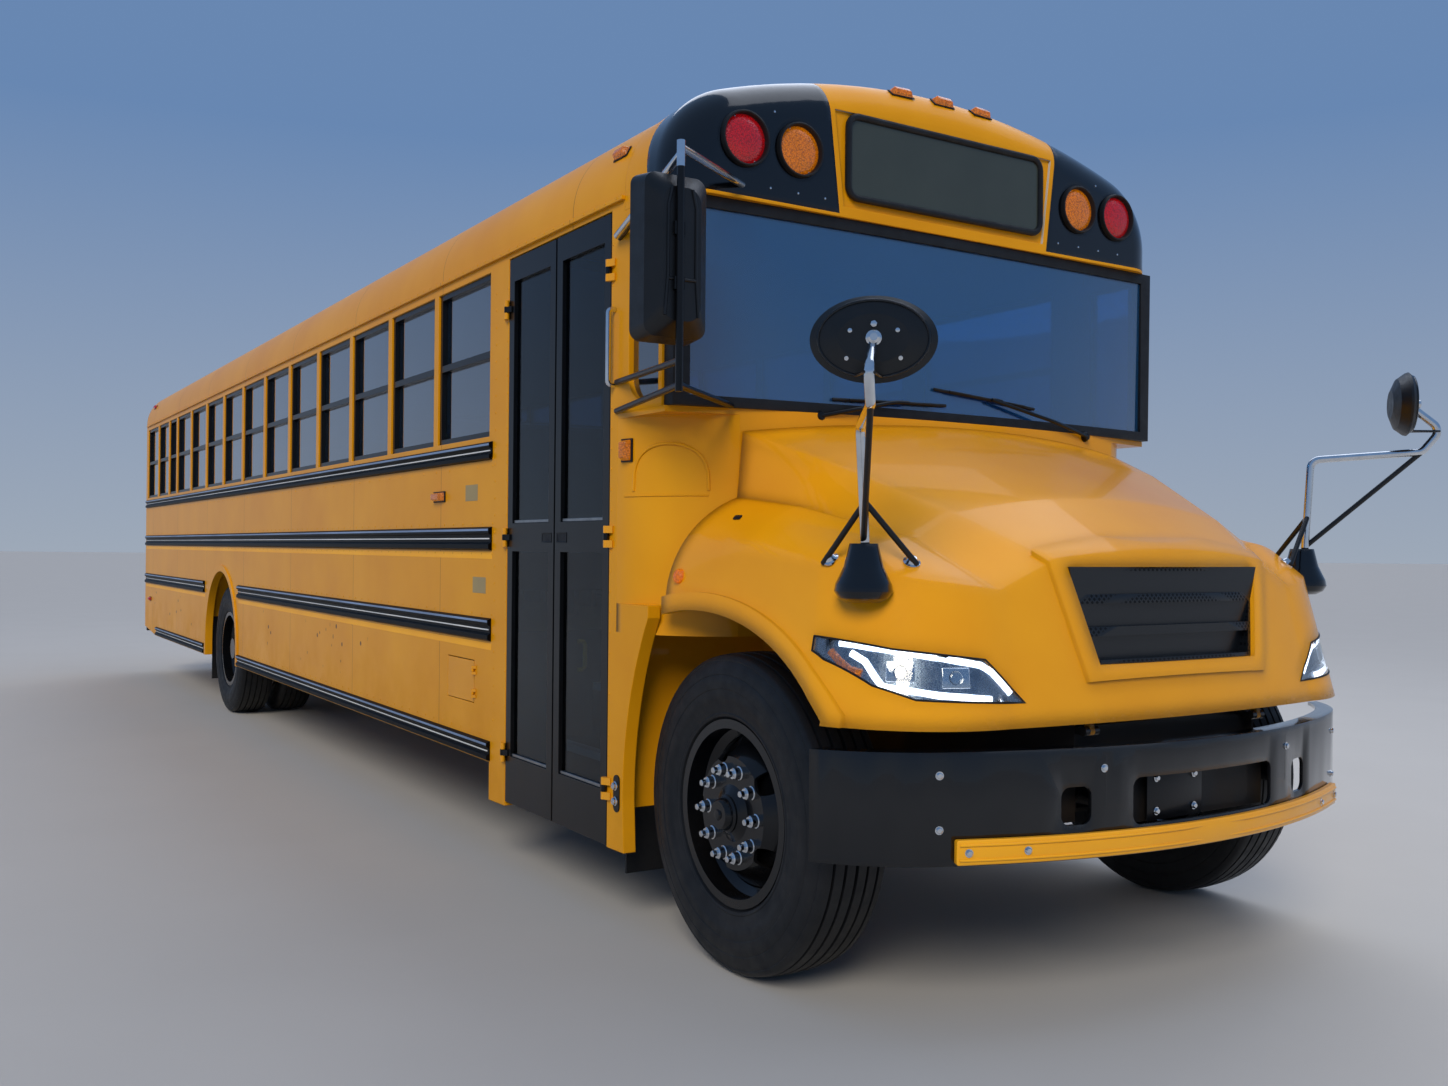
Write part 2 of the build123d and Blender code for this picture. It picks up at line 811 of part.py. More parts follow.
ws_half = 1165
ws_low, ws_high = 1890, 2575


def bowed_band(half, low, high, ahead, behind):
    """Upright band bowed in plan, with more bow at the bottom than at the top."""
    faces = []
    for z, corner, middle in ((low, 268, 178), (high, 262, 240)):
        faces.append(
            outline(
                [
                    (-half, st(corner - ahead), z),
                    (0, st(middle - ahead), z, True),
                    (half, st(corner - ahead), z),
                    (half, st(corner + behind), z),
                    (0, st(middle + behind), z, True),
                    (-half, st(corner + behind), z),
                ]
            )
        )
    return loft(faces, ruled=True)


def make_windshield():
    glass = bowed_band(ws_half, ws_low, ws_high, 0, 8)
    put("windshield", glass)
    frame = bowed_band(HALF - 9, shelf_low + 21, cap_low, 8, 40)
    hole = bowed_band(ws_half - 18, ws_low + 18, ws_high - 18, 60, 90)
    corner = both(
        block((INNER + 6, HALF - 9), (st(300), st(320)), (shelf_low + 21, cap_low)),
    )
    put("windshield_frame", fuse([frame] + corner) - hole - glass)


def make_windows():
    frames, panes = [], []
    mid = 2241
    for side in (-1, 1):
        spans = window_stations() + ([driver_window] if side > 0 else [])
        for a, b in spans:
            x0, x1 = HALF - 34, HALF - 10
            frame = block((x0, x1), (st(a), st(b)), (sill_z, head_z))
            for low, high in ((sill_z + 26, mid - 16), (mid + 16, head_z - 26)):
                frame = frame - block((x0, x1), (st(a + 26), st(b - 26)), (low, high))
            pane = block((x0 - glass_thick, x0), (st(a), st(b)), (sill_z, head_z))
            if side < 0:
                frame, pane = mirror(frame, about=Plane.YZ), mirror(pane, about=Plane.YZ)
            frames.append(frame)
            panes.append(pane)
        quarter = prism_x(quarter_outline(0), HALF - 26, HALF - 20)
        panes.append(quarter if side > 0 else mirror(quarter, about=Plane.YZ))
    for x0, x1 in (rear_window, (-rear_window[1], -rear_window[0])):
        panes.append(block((x0, x1), (REAR - 26, REAR - 20), (sill_z, head_z - 60)))
    put("window_frames", frames)
    put("window_glass", panes, PANES)


# Height and depth of each rub rail, with the stations where it starts and ends on each side
rail_start, rail_end = 1821, wheelbase + rear_overhang - rear_wall_thick
arch_before, arch_behind = wheelbase - 660, wheelbase + 680
rub_rails = [
    (1807, 84, rail_start, rail_end),
    (1417, 108, rail_start, rail_end),
    (1014, 104, rail_start, arch_before),
    (1014, 104, arch_behind, rail_end),
    (479, 90, rail_start, arch_before),
    (479, 90, arch_behind, rail_end - 700),
]
rail_proud = 18


def make_rub_rails():
    rails = []
    for centre, depth, start, end in rub_rails:
        z0, z1 = centre - depth / 2, centre + depth / 2
        rib = depth / 5
        corners = [
            (HALF, z0),
            (HALF + rail_proud, z0 + 8),
            (HALF + rail_proud, z0 + rib + 8),
            (HALF + rail_proud / 3, z0 + rib + 16),
            (HALF + rail_proud / 3, z1 - rib - 16),
            (HALF + rail_proud, z1 - rib - 8),
            (HALF + rail_proud, z1 - 8),
            (HALF, z1),
        ]
        rails += both(prism_y(corners, st(start), st(end)))
    put("rub_rails", rails)


# Hood: one tilting piece with the fenders
# station, fender side X and Z, middle of the fender's curve X and Z, crease X and Z,
# shoulder X and Z, height of the crown
hood_sections = [
    (400, 1185, 1190, 1120, 1440, 997, 1582, 1000, 1852, 1968),
    (-60, 1200, 1215, 1085, 1425, 905, 1525, 850, 1690, 1755),
    (-519, 1195, 1080, 1045, 1350, 800, 1419, 640, 1500, 1562),
    (-900, 1150, 960, 980, 1120, 640, 1190, 430, 1290, 1335),
]


def hood_top(inset):
    faces = []
    for station, fx, fz, mx, mz, cx, cz, sx, sz, top in hood_sections:
        y = st(station)
        half = [
            (fx - inset, y, 700),
            (fx - inset, y, fz - inset),
            (mx - inset * 0.8, y, mz - inset, True),
            (cx - inset * 0.6, y, cz - inset),
            (sx - inset * 0.8, y, sz - inset),
        ]
        other = [(-p[0], *p[1:]) for p in reversed(half)]
        crown = [(0, y, top - inset, True)]
        faces.append(outline(half + crown + other))
    return loft(faces, ruled=True)


# height, then the plan of the nose at that height as X and station:
# middle, corner start, corner middle, corner end and rear
nose_plans = [
    (700, -926, (740, -880), (1010, -800), (1195, -500), (HALF, 420)),
    (1980, -713, (580, -640), (818, -544), (979, -324), (1172, 420)),
]


def hood_nose(inset):
    faces = []
    for z, middle, start, turn, end, rear in nose_plans:
        half = [
            (start[0], st(start[1] + inset), z),
            (turn[0] - inset * 0.5, st(turn[1] + inset * 0.9), z, True),
            (end[0] - inset, st(end[1] + inset * 0.4), z),
            (rear[0] - inset, st(rear[1]), z),
        ]
        other = [(-p[0], *p[1:]) for p in reversed(half)]
        faces.append(outline(half + other + [(0, st(middle + inset), z, True)]))
    return loft(faces, ruled=True)


grille_opening = [(-450, 1336), (450, 1336), (372, 1042), (-372, 1042)]
surround_proud, surround_foot, surround_top = 12, 95, 37
grille_sink, frame_width = 4, 13
mesh_station, mesh_thick = -812, 12
bar_depth, bar_half, bar_heights = 26, 14, (1140, 1238)
flare_width, flare_proud = 62, 13


def grille_outline(grow, y):
    """The grille's opening grown all round, as a face."""
    corners = [
        (x + (grow if x > 0 else -grow), y, z + (grow if z > 1200 else -grow)) for x, z in grille_opening
    ]
    return outline(corners)


def make_hood():
    back = [
        (-1300, st(-1000)),
        (1300, st(-1000)),
        (1300, st(390)),
        (cowl_half + 20, st(cowl_face - panel_gap)),
        (0, st(cowl_face - cowl_bow - panel_gap), True),
        (-cowl_half - 20, st(cowl_face - panel_gap)),
        (-1300, st(390)),
    ]
    keep = prism_z(back, hood_low, 2000)
    outer = hood_top(0) & hood_nose(0) & keep
    flare = hood_top(-flare_proud) & hood_nose(-flare_proud) & keep
    flare = flare & prism_x(arch_points(flare_width), -1400, 1400)
    surround = loft(
        [grille_outline(surround_foot, st(-740)), grille_outline(surround_top, st(-900))], ruled=True
    )
    surround = surround & hood_top(-surround_proud) & hood_nose(-surround_proud)
    inner = hood_top(hood_thick) & hood_nose(hood_thick)
    shell = outer.fuse(flare, surround) - inner
    arch = prism_x(arch_points(), -1400, 1400)
    inner_keep = block((-1090, 1090), (st(-1000), st(500)), (0, 2000))
    shell = shell - (arch - inner_keep)
    shell = shell - prism_y(grille_opening, st(-1000), st(-700))
    fixed, moving = [], []
    hinge_reach = frame_front - hood_hinge_station
    for x in (-400, 400):
        pin = (x, st(hood_hinge_station), hood_hinge_z)
        one, other = hinge(pin, (1, 0, 0), (0, hinge_reach, 0), (0, 4, 46), pin=9, collar=14)
        fixed.append(one)
        moving.append(other)
    put("hood_shell", fuse([shell] + moving))
    HINGES.extend(fixed)
    back = st(mesh_station + mesh_thick)
    mesh = prism_y(grille_opening, st(mesh_station), back)
    sunk = hood_top(grille_sink) & hood_nose(grille_sink)
    frame = prism_y(grille_opening, st(-1000), back)
    frame = frame - extrude(grille_outline(-frame_width, st(-1001)), amount=300, dir=(0, 1, 0))
    bars = [
        block((-600, 600), (st(mesh_station - bar_depth), back), (z - bar_half, z + bar_half))
        & prism_y(grille_opening, st(-1000), back)
        & sunk
        for z in bar_heights
    ]
    put("grille", fuse([mesh, frame & sunk] + bars))


bumper_face = -front_overhang


def bumper_band(near, far, reach=True):
    """Plan of a band along the bumper: two depths behind its face, out to its ends or the corners."""
    def line(depth):
        front = [(894 - depth * 0.4, st(-800 + depth)), (0, st(bumper_face + depth), True)]
        end = [(1215 - depth, st(-545)), (1105 - depth * 0.75, st(-672 + depth * 0.7), True)]
        half = (end if reach else []) + front
        return half + [(-p[0], *p[1:]) for p in reversed(half[:-1])]

    return line(near) + list(reversed(line(far)))


tow_half, tow_z = 529, 645
tow_size, tow_corner = (100, 110), 28
plate_bay, bay_corner = (660, 140), 30


def bumper_opening(x, size, corner):
    """A rounded opening through the bumper's face, at the tow hooks' height."""
    ahead = Plane(origin=(x, st(-1000), tow_z), x_dir=(1, 0, 0), z_dir=(0, 1, 0))
    return extrude(ahead * RectangleRounded(*size, corner), amount=120, dir=(0, 1, 0))

strip_proud, strip_depth = 22, 72


def make_bumpers():
    face = prism_z(bumper_band(0, bumper_plate), bumper_low, bumper_high)
    flanges = [
        prism_z(bumper_band(0, 55), z, z + bumper_plate) for z in (bumper_low, bumper_high - bumper_plate)
    ]
    bumper = fuse([face] + flanges)
    bumper = bumper - bumper_opening(0, plate_bay, bay_corner)
    for x in (-tow_half, tow_half):
        bumper = bumper - bumper_opening(x, tow_size, tow_corner)
    arms = both(block((frame_half - 72, frame_half), (st(-940), st(frame_front)), (640, 780)))
    put("front_bumper", fuse([bumper] + arms))
    strip_low = bumper_low + panel_gap
    put("bumper_strip", prism_z(bumper_band(-strip_proud, 0, False), strip_low, strip_low + strip_depth))
    outer = block((-1200, 1200), (REAR, REAR + rear_bumper_depth), (440, 650))
    edges = outer.edges().filter_by(Axis.Z).group_by(Axis.Y)[-1]
    outer = outer.fillet(60, edges)
    hollow = block((-1190, 1190), (REAR, REAR + rear_bumper_depth - bumper_plate), (452, 638))
    edges = hollow.edges().filter_by(Axis.Z).group_by(Axis.Y)[-1]
    put("rear_bumper", outer - hollow.fillet(50, edges))


def make_step_well():
    """Three steps up from the door to the floor, closed at both ends."""
    count, sheet = 3, 20
    rise = (floor_top - step_low) / count
    tread = (INNER + well_inner) / count
    top, under = [], []
    for i in range(count):
        x, z = tread * i - INNER, step_low + rise * i
        top += [(x - (sheet if i else 0), z), (x + tread - sheet, z)]
        under += [(x, z - sheet), (x + tread, z - sheet)]
    top += [(well_inner - sheet, floor_top), (well_inner, floor_top)]
    stairs = prism_y(top + list(reversed(under)), st(well_front), st(well_back))
    ends = [
        block((-INNER, well_inner), (st(a), st(a + well_end)), (step_low - sheet, floor_top))
        for a in (well_front, well_back - well_end)
    ]
    put("step_well", fuse([stairs] + ends))


leaf_gap = 12


def make_doors():
    """Two glazed leaves that fold outwards from the posts on either side."""
    middle = (door_front + door_back) / 2
    spans = [(door_front + panel_gap, middle - leaf_gap / 2), (middle + leaf_gap / 2, door_back - panel_gap)]
    x0, x1 = -HALF, -HALF + door_thick
    hinges = []
    for name, (a, b), post in (("front", spans[0], door_front), ("rear", spans[1], door_back)):
        leaf = block((x0, x1), (st(a), st(b)), (door_low + panel_gap, door_high - panel_gap))
        panes = []
        for low, high in ((488, 1363), (1482, 2515)):
            spot = (st(a + 52), st(b - 52))
            leaf = leaf - block((x0, x1), spot, (low, high))
            panes.append(block((x0 + 16, x0 + 16 + glass_thick), spot, (low, high)))
        way = 1 if name == "front" else -1
        moving = []
        for z in (500, 1422, 2400):
            pin = (-HALF - 12, st(post + way * 3), z)
            one, other = hinge(pin, (0, 0, 1), (14, -way * 34, 0), (14, way * 34, 0), length=80)
            solid = block((-HALF, 0), (st(0), st(3000)), (0, 3000))
            hinges.append(one - solid)
            moving.append(other - solid)
        put("door_leaf_" + name, fuse([leaf] + moving))
        put("door_glass_" + name, panes)
    HINGES.extend(hinges)


seat_count, seat_first, seat_pitch = 12, 2150, 760
seat_inner, seat_outer = 190, 1150


def make_seats():
    cushions, backs, legs = [], [], []
    for i in range(seat_count):
        y = st(seat_first + seat_pitch * i)
        x = (seat_inner, seat_outer)
        cushions += both(block(x, (y, y + 400), (1340, 1460)))
        backs += both(block(x, (y + 400, y + 470), (1340, 2040)))
        leg = block((230, 260), (y + 60, y + 340), (floor_top, 1316))
        rail = block((230, INNER), (y + 180, y + 220), (1316, 1340))
        legs += both(fuse([leg, rail]))
    barrier_y = (st(1990), st(2030))
    backs += both(block((seat_inner, seat_outer), barrier_y, (1160, 1960)))
    legs += both(block((230, 270), barrier_y, (floor_top, 1160)))
    legs += both(block((seat_outer, INNER), barrier_y, (1400, 1440)))
    x = (370, 870)
    legs.append(block((450, 790), (st(1230), st(1560)), (floor_top, 1320)))
    cushions.append(block(x, (st(1160), st(1640)), (1320, 1440)))
    backs.append(prism_x([(st(1600), 1440), (st(1660), 2060), (st(1760), 2060), (st(1720), 1440)], *x))
    put("seat_cushions", cushions)
    put("seat_backs", backs)
    put("seat_frames", legs)


wheel_x, wheel_station, wheel_z = 620, 905, 1730
wheel_lean = 42


def make_driver_place():
    dash = prism_x(
        [(st(firewall), 1525), (st(firewall), 1850), (st(560), 1850), (st(650), 1740), (st(600), 1525)], -980, 980
    )
    lean = radians(wheel_lean)
    way = Vector(0, sin(lean), cos(lean))
    hub = Vector(wheel_x, st(wheel_station), wheel_z)
    tube = Solid.make_cylinder(34, 790, Plane(origin=hub - way * 860, z_dir=way))
    tube = tube - block((500, 740), (st(200), st(500)), (900, wheelhouse_z + 25))
    bore = Solid.make_cylinder(14 + pin_play, 80, Plane(origin=hub - way * 150, z_dir=way))
    put("dashboard", dash, tube - bore)
    plane = Plane(origin=hub, x_dir=(1, 0, 0), z_dir=way)
    ring = plane * Torus(215, 14)
    boss = Solid.make_cylinder(38, 40, Plane(origin=hub - way * 50, z_dir=way))
    pin = Solid.make_cylinder(14, 100, Plane(origin=hub - way * 148, z_dir=way))
    spokes = [plane * (Rot(0, 0, turn) * Pos(108, 0, -12) * Box(214, 26, 12)) for turn in (90, 210, 330)]
    put("steering_wheel", fuse([boss, ring, pin] + spokes))


flap_behind = 620


def make_underside():
    tank = block((-1080, -470), (st(2050), st(3050)), (470, 820))
    tank = tank.fillet(50, tank.edges().filter_by(Axis.Y))
    straps = [block((-480, -frame_half), (st(a), st(a + 80)), (640, 800)) for a in (2200, 2820)]
    put("fuel_tank", fuse([tank] + straps))
    y0 = st(100)
    front = bent_rod(
        [
            (engine_half, y0, 905),
            (500, y0, 905),
            (500, st(420), 790),
            (500, st(4100), 790),
            (590, st(4400), 700),
            (590, st(4560), 700),
        ],
        38,
        60,
    )
    tail = bent_rod([(590, st(5500), 700), (590, st(5900), 700), (1000, st(6480), 560), (1115, st(6580), 530)], 38, 60)
    muffler = cylinder((590, st(4500), 700), (590, st(5560), 700), 120)
    hangers = [block((frame_half, 560), (st(a), st(a + 50)), (670, 730)) for a in (4700, 5300)]
    put("exhaust", fuse([front, muffler, tail] + hangers))
    flaps = both(
        block((700, INNER - 4), (st(cowl_side + 4), st(cowl_side + 14)), (190, skirt_z)),
        block((545, INNER - 4), (AXLE_R + flap_behind, AXLE_R + flap_behind + 10), (220, floor_low)),
    )
    put("mud_flaps", flaps)


mirror_out, mirror_in, mirror_low, mirror_high = 1495, 1262, 2031, 2556
mirror_pole = 1393
dish_centre, dish_half = (1258, -872, 1935), (168, 116)


pod_low = 1230
# height above the pod's foot, radius
pod_rings = [(0, 52), (12, 74), (32, 86), (54, 82), (104, 58), (170, 42)]
# distance along the dish's axis, share of its full size
dish_rings = [(-22, 0.55), (-8, 0.9), (4, 1), (12, 0.98), (40, 0.8), (58, 0.45)]


def make_mirrors():
    """Wing mirror on tubular arms at the door side, and a convex mirror on a post over each fender."""
    middle = ((mirror_out + mirror_in) / 2, (mirror_low + mirror_high) / 2)
    head = loft(
        [
            Plane(origin=(middle[0], st(y), middle[1]), x_dir=(1, 0, 0), z_dir=(0, -1, 0))
            * RectangleRounded(width, height, corner)
            for y, width, height, corner in (
                (44, mirror_out - mirror_in, mirror_high - mirror_low, 36),
                (-40, mirror_out - mirror_in - 10, mirror_high - mirror_low - 16, 40),
                (-82, mirror_out - mirror_in - 96, mirror_high - mirror_low - 110, 50),
            )
        ],
        ruled=True,
    )
    put("wing_mirror", mirror(head, about=Plane.YZ))
    y = -94
    rods = [
        cylinder((HALF, st(650), 1985), (mirror_pole, st(y), 1960), 11),
        cylinder((HALF, st(650), 1880), (mirror_pole, st(y), 1885), 11),
        cylinder((cowl_half - 30, st(290), shelf_low + 26), (mirror_pole, st(y), 1885), 11),
        cylinder((mirror_pole, st(y), 1865), (mirror_pole, st(y), 2640), 12),
        cylinder((HALF, st(636), 2509), (mirror_pole, st(y), 2600), 11),
        cylinder((940, st(cap_front + 20), 2650), (mirror_pole, st(y), 2620), 11),
    ]
    pads = [block((mirror_pole - 18, mirror_pole + 18), (st(y), st(-76)), (z, z + 40)) for z in (2180, 2350)]
    arms = fuse(rods + pads) - head
    solid = block((0, HALF), (st(cap_front), st(700)), (0, 3300))
    arms = mirror(arms - solid, about=Plane.YZ).cut(*PARTS["lamp_panels"].solids())
    handle = bent_rod(
        [(x, st(668), z) for x, z in ((-HALF, 1976), (-HALF - 28, 1976), (-HALF - 28, 2252), (-HALF, 2252))],
        9,
        14,
    )
    put("mirror_arms", arms, handle)
    top = (1058, st(-595), 1400)
    foot = Plane(origin=(1055, st(-585), pod_low))
    cone = loft([foot.offset(height) * Circle(radius) for height, radius in pod_rings], ruled=True)
    skin = hood_top(0) & hood_nose(0)
    put("mirror_pods", both(cone - skin))
    x, y, z = dish_centre
    bend = (1294, st(-906), 1759)
    post = bent_rod(
        [(top[0], top[1], 1396), (1085, st(-600), 1737), bend, (1338, st(-952), 1840), (x, st(y), z)], 13, 36
    )
    legs = [
        cylinder((top[0] + 6, top[1], 1410), bend, 9),
        cylinder((1064, st(-600), 1520), (1085, st(-430), 1340), 9),
        cylinder((1064, st(-600), 1520), (900, st(-640), 1340), 9),
    ]
    plane = Plane(origin=(x, st(y), z), x_dir=(0.783, -0.622, 0), z_dir=(-0.622, 0.783, 0))
    ovals = [plane.offset(d) * Ellipse(dish_half[0] * share, dish_half[1] * share) for d, share in dish_rings]
    dish = loft(ovals, ruled=True)
    post = fuse([post] + legs + [dish]) - skin - cone
    put("crossview_mirrors", both(post))


def make_hatches():
    """Roof hatches with a curb and a hinged lid each."""
    curbs = []
    for name, station in zip(("front", "rear"), hatch_stations):
        y, r = st(station), hatch_half
        hole = block((-r + 25, r - 25), (y - r + 25, y + r - 25), (3000, 3300))
        curb = block((-r, r), (y - r, y + r), (3080, 3172)) - hole
        lid = block((-r - 14, r + 14), (y - r - 14, y + r + 14), (3158, 3202)) - block(
            (-r - 6, r + 6), (y - r - 6, y + r + 6), (3150, 3172.3)
        )
        moving = []
        for x in (-180, 180):
            pin = (x, y - r - 34, 3176)
            one, other = hinge(pin, (1, 0, 0), (0, 0, -45), (0, 30, 8))
            roof = body_prism(y - 400, y + 400, eave_z)
            curbs.append(one - roof)
            moving.append(other - block((-r - 6, r + 6), (y - r - 6, y + r + 6), (3000, 3172.3)))
        put("roof_hatch_" + name, fuse([lid] + moving))
        ends = (y - 400, y + 400, eave_z)
        skin = body_prism(*ends) - body_prism(*ends, roof_wall)
        PARTS["roof"] = PARTS["roof"].fuse(curb - skin)
    HINGES.extend(curbs)


def make_stop_arm():
    """Blank eight-sided sign that folds flat against the left side."""
    y, z, r = st(1210), 1620, 228
    corners = [(y + r * cos(pi / 8 + pi / 4 * i), z + r * sin(pi / 8 + pi / 4 * i)) for i in range(8)]
    x0 = HALF + 34
    sign = prism_x(corners, x0, x0 + 4)
    arm = block((x0 - 4, x0), (y - 262, y + 60), (z - 60, z + 60))
    fixed, moving = [], []
    for height in (z - 40, z + 40):
        one, other = hinge((x0 - 2, y - 275, height), (0, 0, 1), (-34, -16, 0), (0, 24, 0), length=60)
        fixed.append(one - block((0, HALF), (st(0), st(3000)), (0, 3000)))
        moving.append(other)
    put("stop_arm", fuse([sign, arm] + moving))
    HINGES.extend(fixed)


def make_fuel_door():
    a, b, c, d = fuel_door
    g = panel_gap / 2 + 1
    skin = block((-HALF, -HALF + 6), (st(a) + g, st(b) - g), (c + g, d - g))
    fixed, moving = [], []
    for z in (c + 45, d - 45):
        one, other = hinge((-HALF - 8, st(a), z), (0, 0, 1), (10, -22, 0), (10, 22, 0), length=40, pin=4, collar=7)
        solid = block((-HALF, 0), (st(0), st(3000)), (0, 3000))
        fixed.append(one - solid)
        moving.append(other - solid)
    put("fuel_door", fuse([skin] + moving))
    HINGES.extend(fixed)


# Corners of the right headlamp's lens seen from the front, as X and Z
lens_outline = [(1145, 1131), (1013, 1098), (781, 1069), (661, 943), (985, 958), (1066, 994), (1125, 1060)]


def make_headlamps():
    outer = hood_top(0) & hood_nose(0)
    inner = hood_top(14) & hood_nose(14)
    region = prism_y(lens_outline, st(-1000), st(-440))
    region = region & block((600, 1190), (st(-1000), st(-440)), (hood_low + 30, 1200))
    lens = (outer & region) - inner
    lenses = both(lens)
    put("headlamps", lenses)
    hood = PARTS["hood_shell"]
    for one in lenses:
        hood = hood - one
    put("hood_shell", hood)


# half spacing, height, radius
tail_lamps = [(880, 1560, 90), (880, 1330, 90), (1010, 1330, 60)]
rear_lamp_places = (760, 980)
rear_lamp_height = 2730


def make_tail_lamps():
    lamps = []
    for x, z, r in tail_lamps:
        lamps += both(cylinder((x, REAR, z), (x, REAR + 22, z), r))
    for x in rear_lamp_places:
        lamps += both(cylinder((x, REAR, rear_lamp_height), (x, REAR + 30, rear_lamp_height), lamp_radius))
    put("warning_lamps", PARTS["warning_lamps"], lamps)


def export_all():
    for name, shape in PARTS.items():
        shape.label = name
        export_step(shape, "parts/" + name + ".step")


make_frame()
make_engine()
make_driveline()
make_front_axle()
make_rear_axle()
make_springs()
for side in (-1, 1):
    make_knuckle(side)
    make_front_wheel(side)
    make_rear_wheels(side)
make_floor()
make_wheel_housings()
make_side_wall(-1)
make_side_wall(1)
make_roof()
make_rear_wall()
make_rear_door()
make_front_cap()
make_cowl()
make_windshield()
make_windows()
make_rub_rails()
make_hood()
make_headlamps()
make_bumpers()
make_step_well()
make_doors()
make_seats()
make_driver_place()
make_underside()
make_mirrors()
make_hatches()
make_stop_arm()
make_fuel_door()
make_tail_lamps()
put("hinge_brackets", HINGES)
export_all()
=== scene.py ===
"""A full-size school bus: paint, rubber, glass, lamps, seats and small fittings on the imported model."""

import json
from math import cos, pi, radians, sin, tan, tau

import bmesh
import bpy
from mathutils import Matrix, Vector
from mathutils.bvhtree import BVHTree

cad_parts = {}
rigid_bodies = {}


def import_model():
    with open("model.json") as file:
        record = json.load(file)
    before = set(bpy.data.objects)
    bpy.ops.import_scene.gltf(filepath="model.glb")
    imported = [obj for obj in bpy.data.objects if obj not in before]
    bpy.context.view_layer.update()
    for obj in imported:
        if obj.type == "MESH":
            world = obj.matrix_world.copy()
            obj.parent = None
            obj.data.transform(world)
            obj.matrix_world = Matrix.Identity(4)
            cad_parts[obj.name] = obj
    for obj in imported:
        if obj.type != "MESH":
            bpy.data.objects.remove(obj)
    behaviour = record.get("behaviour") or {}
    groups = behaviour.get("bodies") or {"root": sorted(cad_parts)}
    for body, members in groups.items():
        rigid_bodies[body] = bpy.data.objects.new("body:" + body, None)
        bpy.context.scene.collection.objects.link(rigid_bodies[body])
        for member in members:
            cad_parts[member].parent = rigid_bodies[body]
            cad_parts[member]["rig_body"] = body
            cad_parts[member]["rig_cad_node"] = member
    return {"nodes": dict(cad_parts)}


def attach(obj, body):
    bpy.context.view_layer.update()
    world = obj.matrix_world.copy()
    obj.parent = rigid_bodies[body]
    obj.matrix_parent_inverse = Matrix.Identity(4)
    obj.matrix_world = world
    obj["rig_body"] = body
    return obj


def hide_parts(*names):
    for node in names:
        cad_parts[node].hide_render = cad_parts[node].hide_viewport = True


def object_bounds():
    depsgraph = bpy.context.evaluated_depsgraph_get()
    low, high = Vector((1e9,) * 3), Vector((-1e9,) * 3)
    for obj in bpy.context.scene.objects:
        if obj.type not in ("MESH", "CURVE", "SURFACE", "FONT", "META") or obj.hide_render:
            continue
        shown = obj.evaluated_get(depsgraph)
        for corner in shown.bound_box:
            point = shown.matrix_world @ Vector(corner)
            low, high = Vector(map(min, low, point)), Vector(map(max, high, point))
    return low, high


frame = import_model()
cad_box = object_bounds()

# Places on the bus, in metres: y = 0 is the middle of its length
FRONT_AXLE, REAR_AXLE, REAR_WALL = -5.370, 2.250, 6.240
SIDE = 1.219
TYRE_RADIUS = 0.522
X, Y, Z = Vector((1, 0, 0)), Vector((0, 1, 0)), Vector((0, 0, 1))


def st(station):
    """The y of a place that lies so many millimetres behind the front axle."""
    return FRONT_AXLE + station / 1000


# Modelling by hand, in code

def leave():
    """Back to object mode, with nothing selected."""
    if bpy.context.object and bpy.context.object.mode != "OBJECT":
        bpy.ops.object.mode_set(mode="OBJECT")
    bpy.ops.object.select_all(action="DESELECT")


def hold(piece):
    """Selects one piece alone."""
    leave()
    piece.select_set(True)
    bpy.context.view_layer.objects.active = piece


def edit(piece):
    """Edit mode, with all of the piece selected."""
    hold(piece)
    bpy.ops.object.mode_set(mode="EDIT")
    bpy.ops.mesh.select_all(action="SELECT")


def choose(kind, test):
    """Selects the vertices, edges or faces whose middle passes the test; faces give their normal too."""
    bpy.ops.mesh.select_mode(type=kind)
    bpy.ops.mesh.select_all(action="DESELECT")
    mesh = bmesh.from_edit_mesh(bpy.context.object.data)
    if kind == "FACE":
        for face in mesh.faces:
            face.select = test(face.calc_center_median(), face.normal)
    elif kind == "EDGE":
        for edge in mesh.edges:
            edge.select = test((edge.verts[0].co + edge.verts[1].co) / 2, edge.verts[1].co - edge.verts[0].co)
    else:
        for vert in mesh.verts:
            vert.select = test(vert.co)
    mesh.select_flush_mode()
    bmesh.update_edit_mesh(bpy.context.object.data)


def settle(piece):
    """Puts the piece's place into its mesh."""
    hold(piece)
    bpy.ops.object.transform_apply(location=True, rotation=True, scale=True)
    return piece


def block(name, low, high, edge=0.0, steps=2):
    """A box between two corners, its edges rounded."""
    low, high = Vector(low), Vector(high)
    leave()
    bpy.ops.mesh.primitive_cube_add(size=1, location=(low + high) / 2, scale=high - low)
    piece = bpy.context.object
    piece.name = name
    settle(piece)
    if edge:
        edit(piece)
        bpy.ops.mesh.bevel(offset=edge, segments=steps, affect="EDGES")
        leave()
    return piece


def pulled(name, points):
    """A line of edges pulled from one vertex, left open in edit mode."""
    leave()
    bpy.ops.mesh.primitive_plane_add(size=0.01, location=points[0])
    piece = bpy.context.object
    piece.name = name
    settle(piece)
    edit(piece)
    bpy.ops.mesh.select_mode(type="VERT")
    bpy.ops.mesh.merge(type="CENTER")
    for before, after in zip(points, points[1:]):
        bpy.ops.mesh.extrude_region_move(TRANSFORM_OT_translate={"value": Vector(after) - Vector(before)})
    return piece


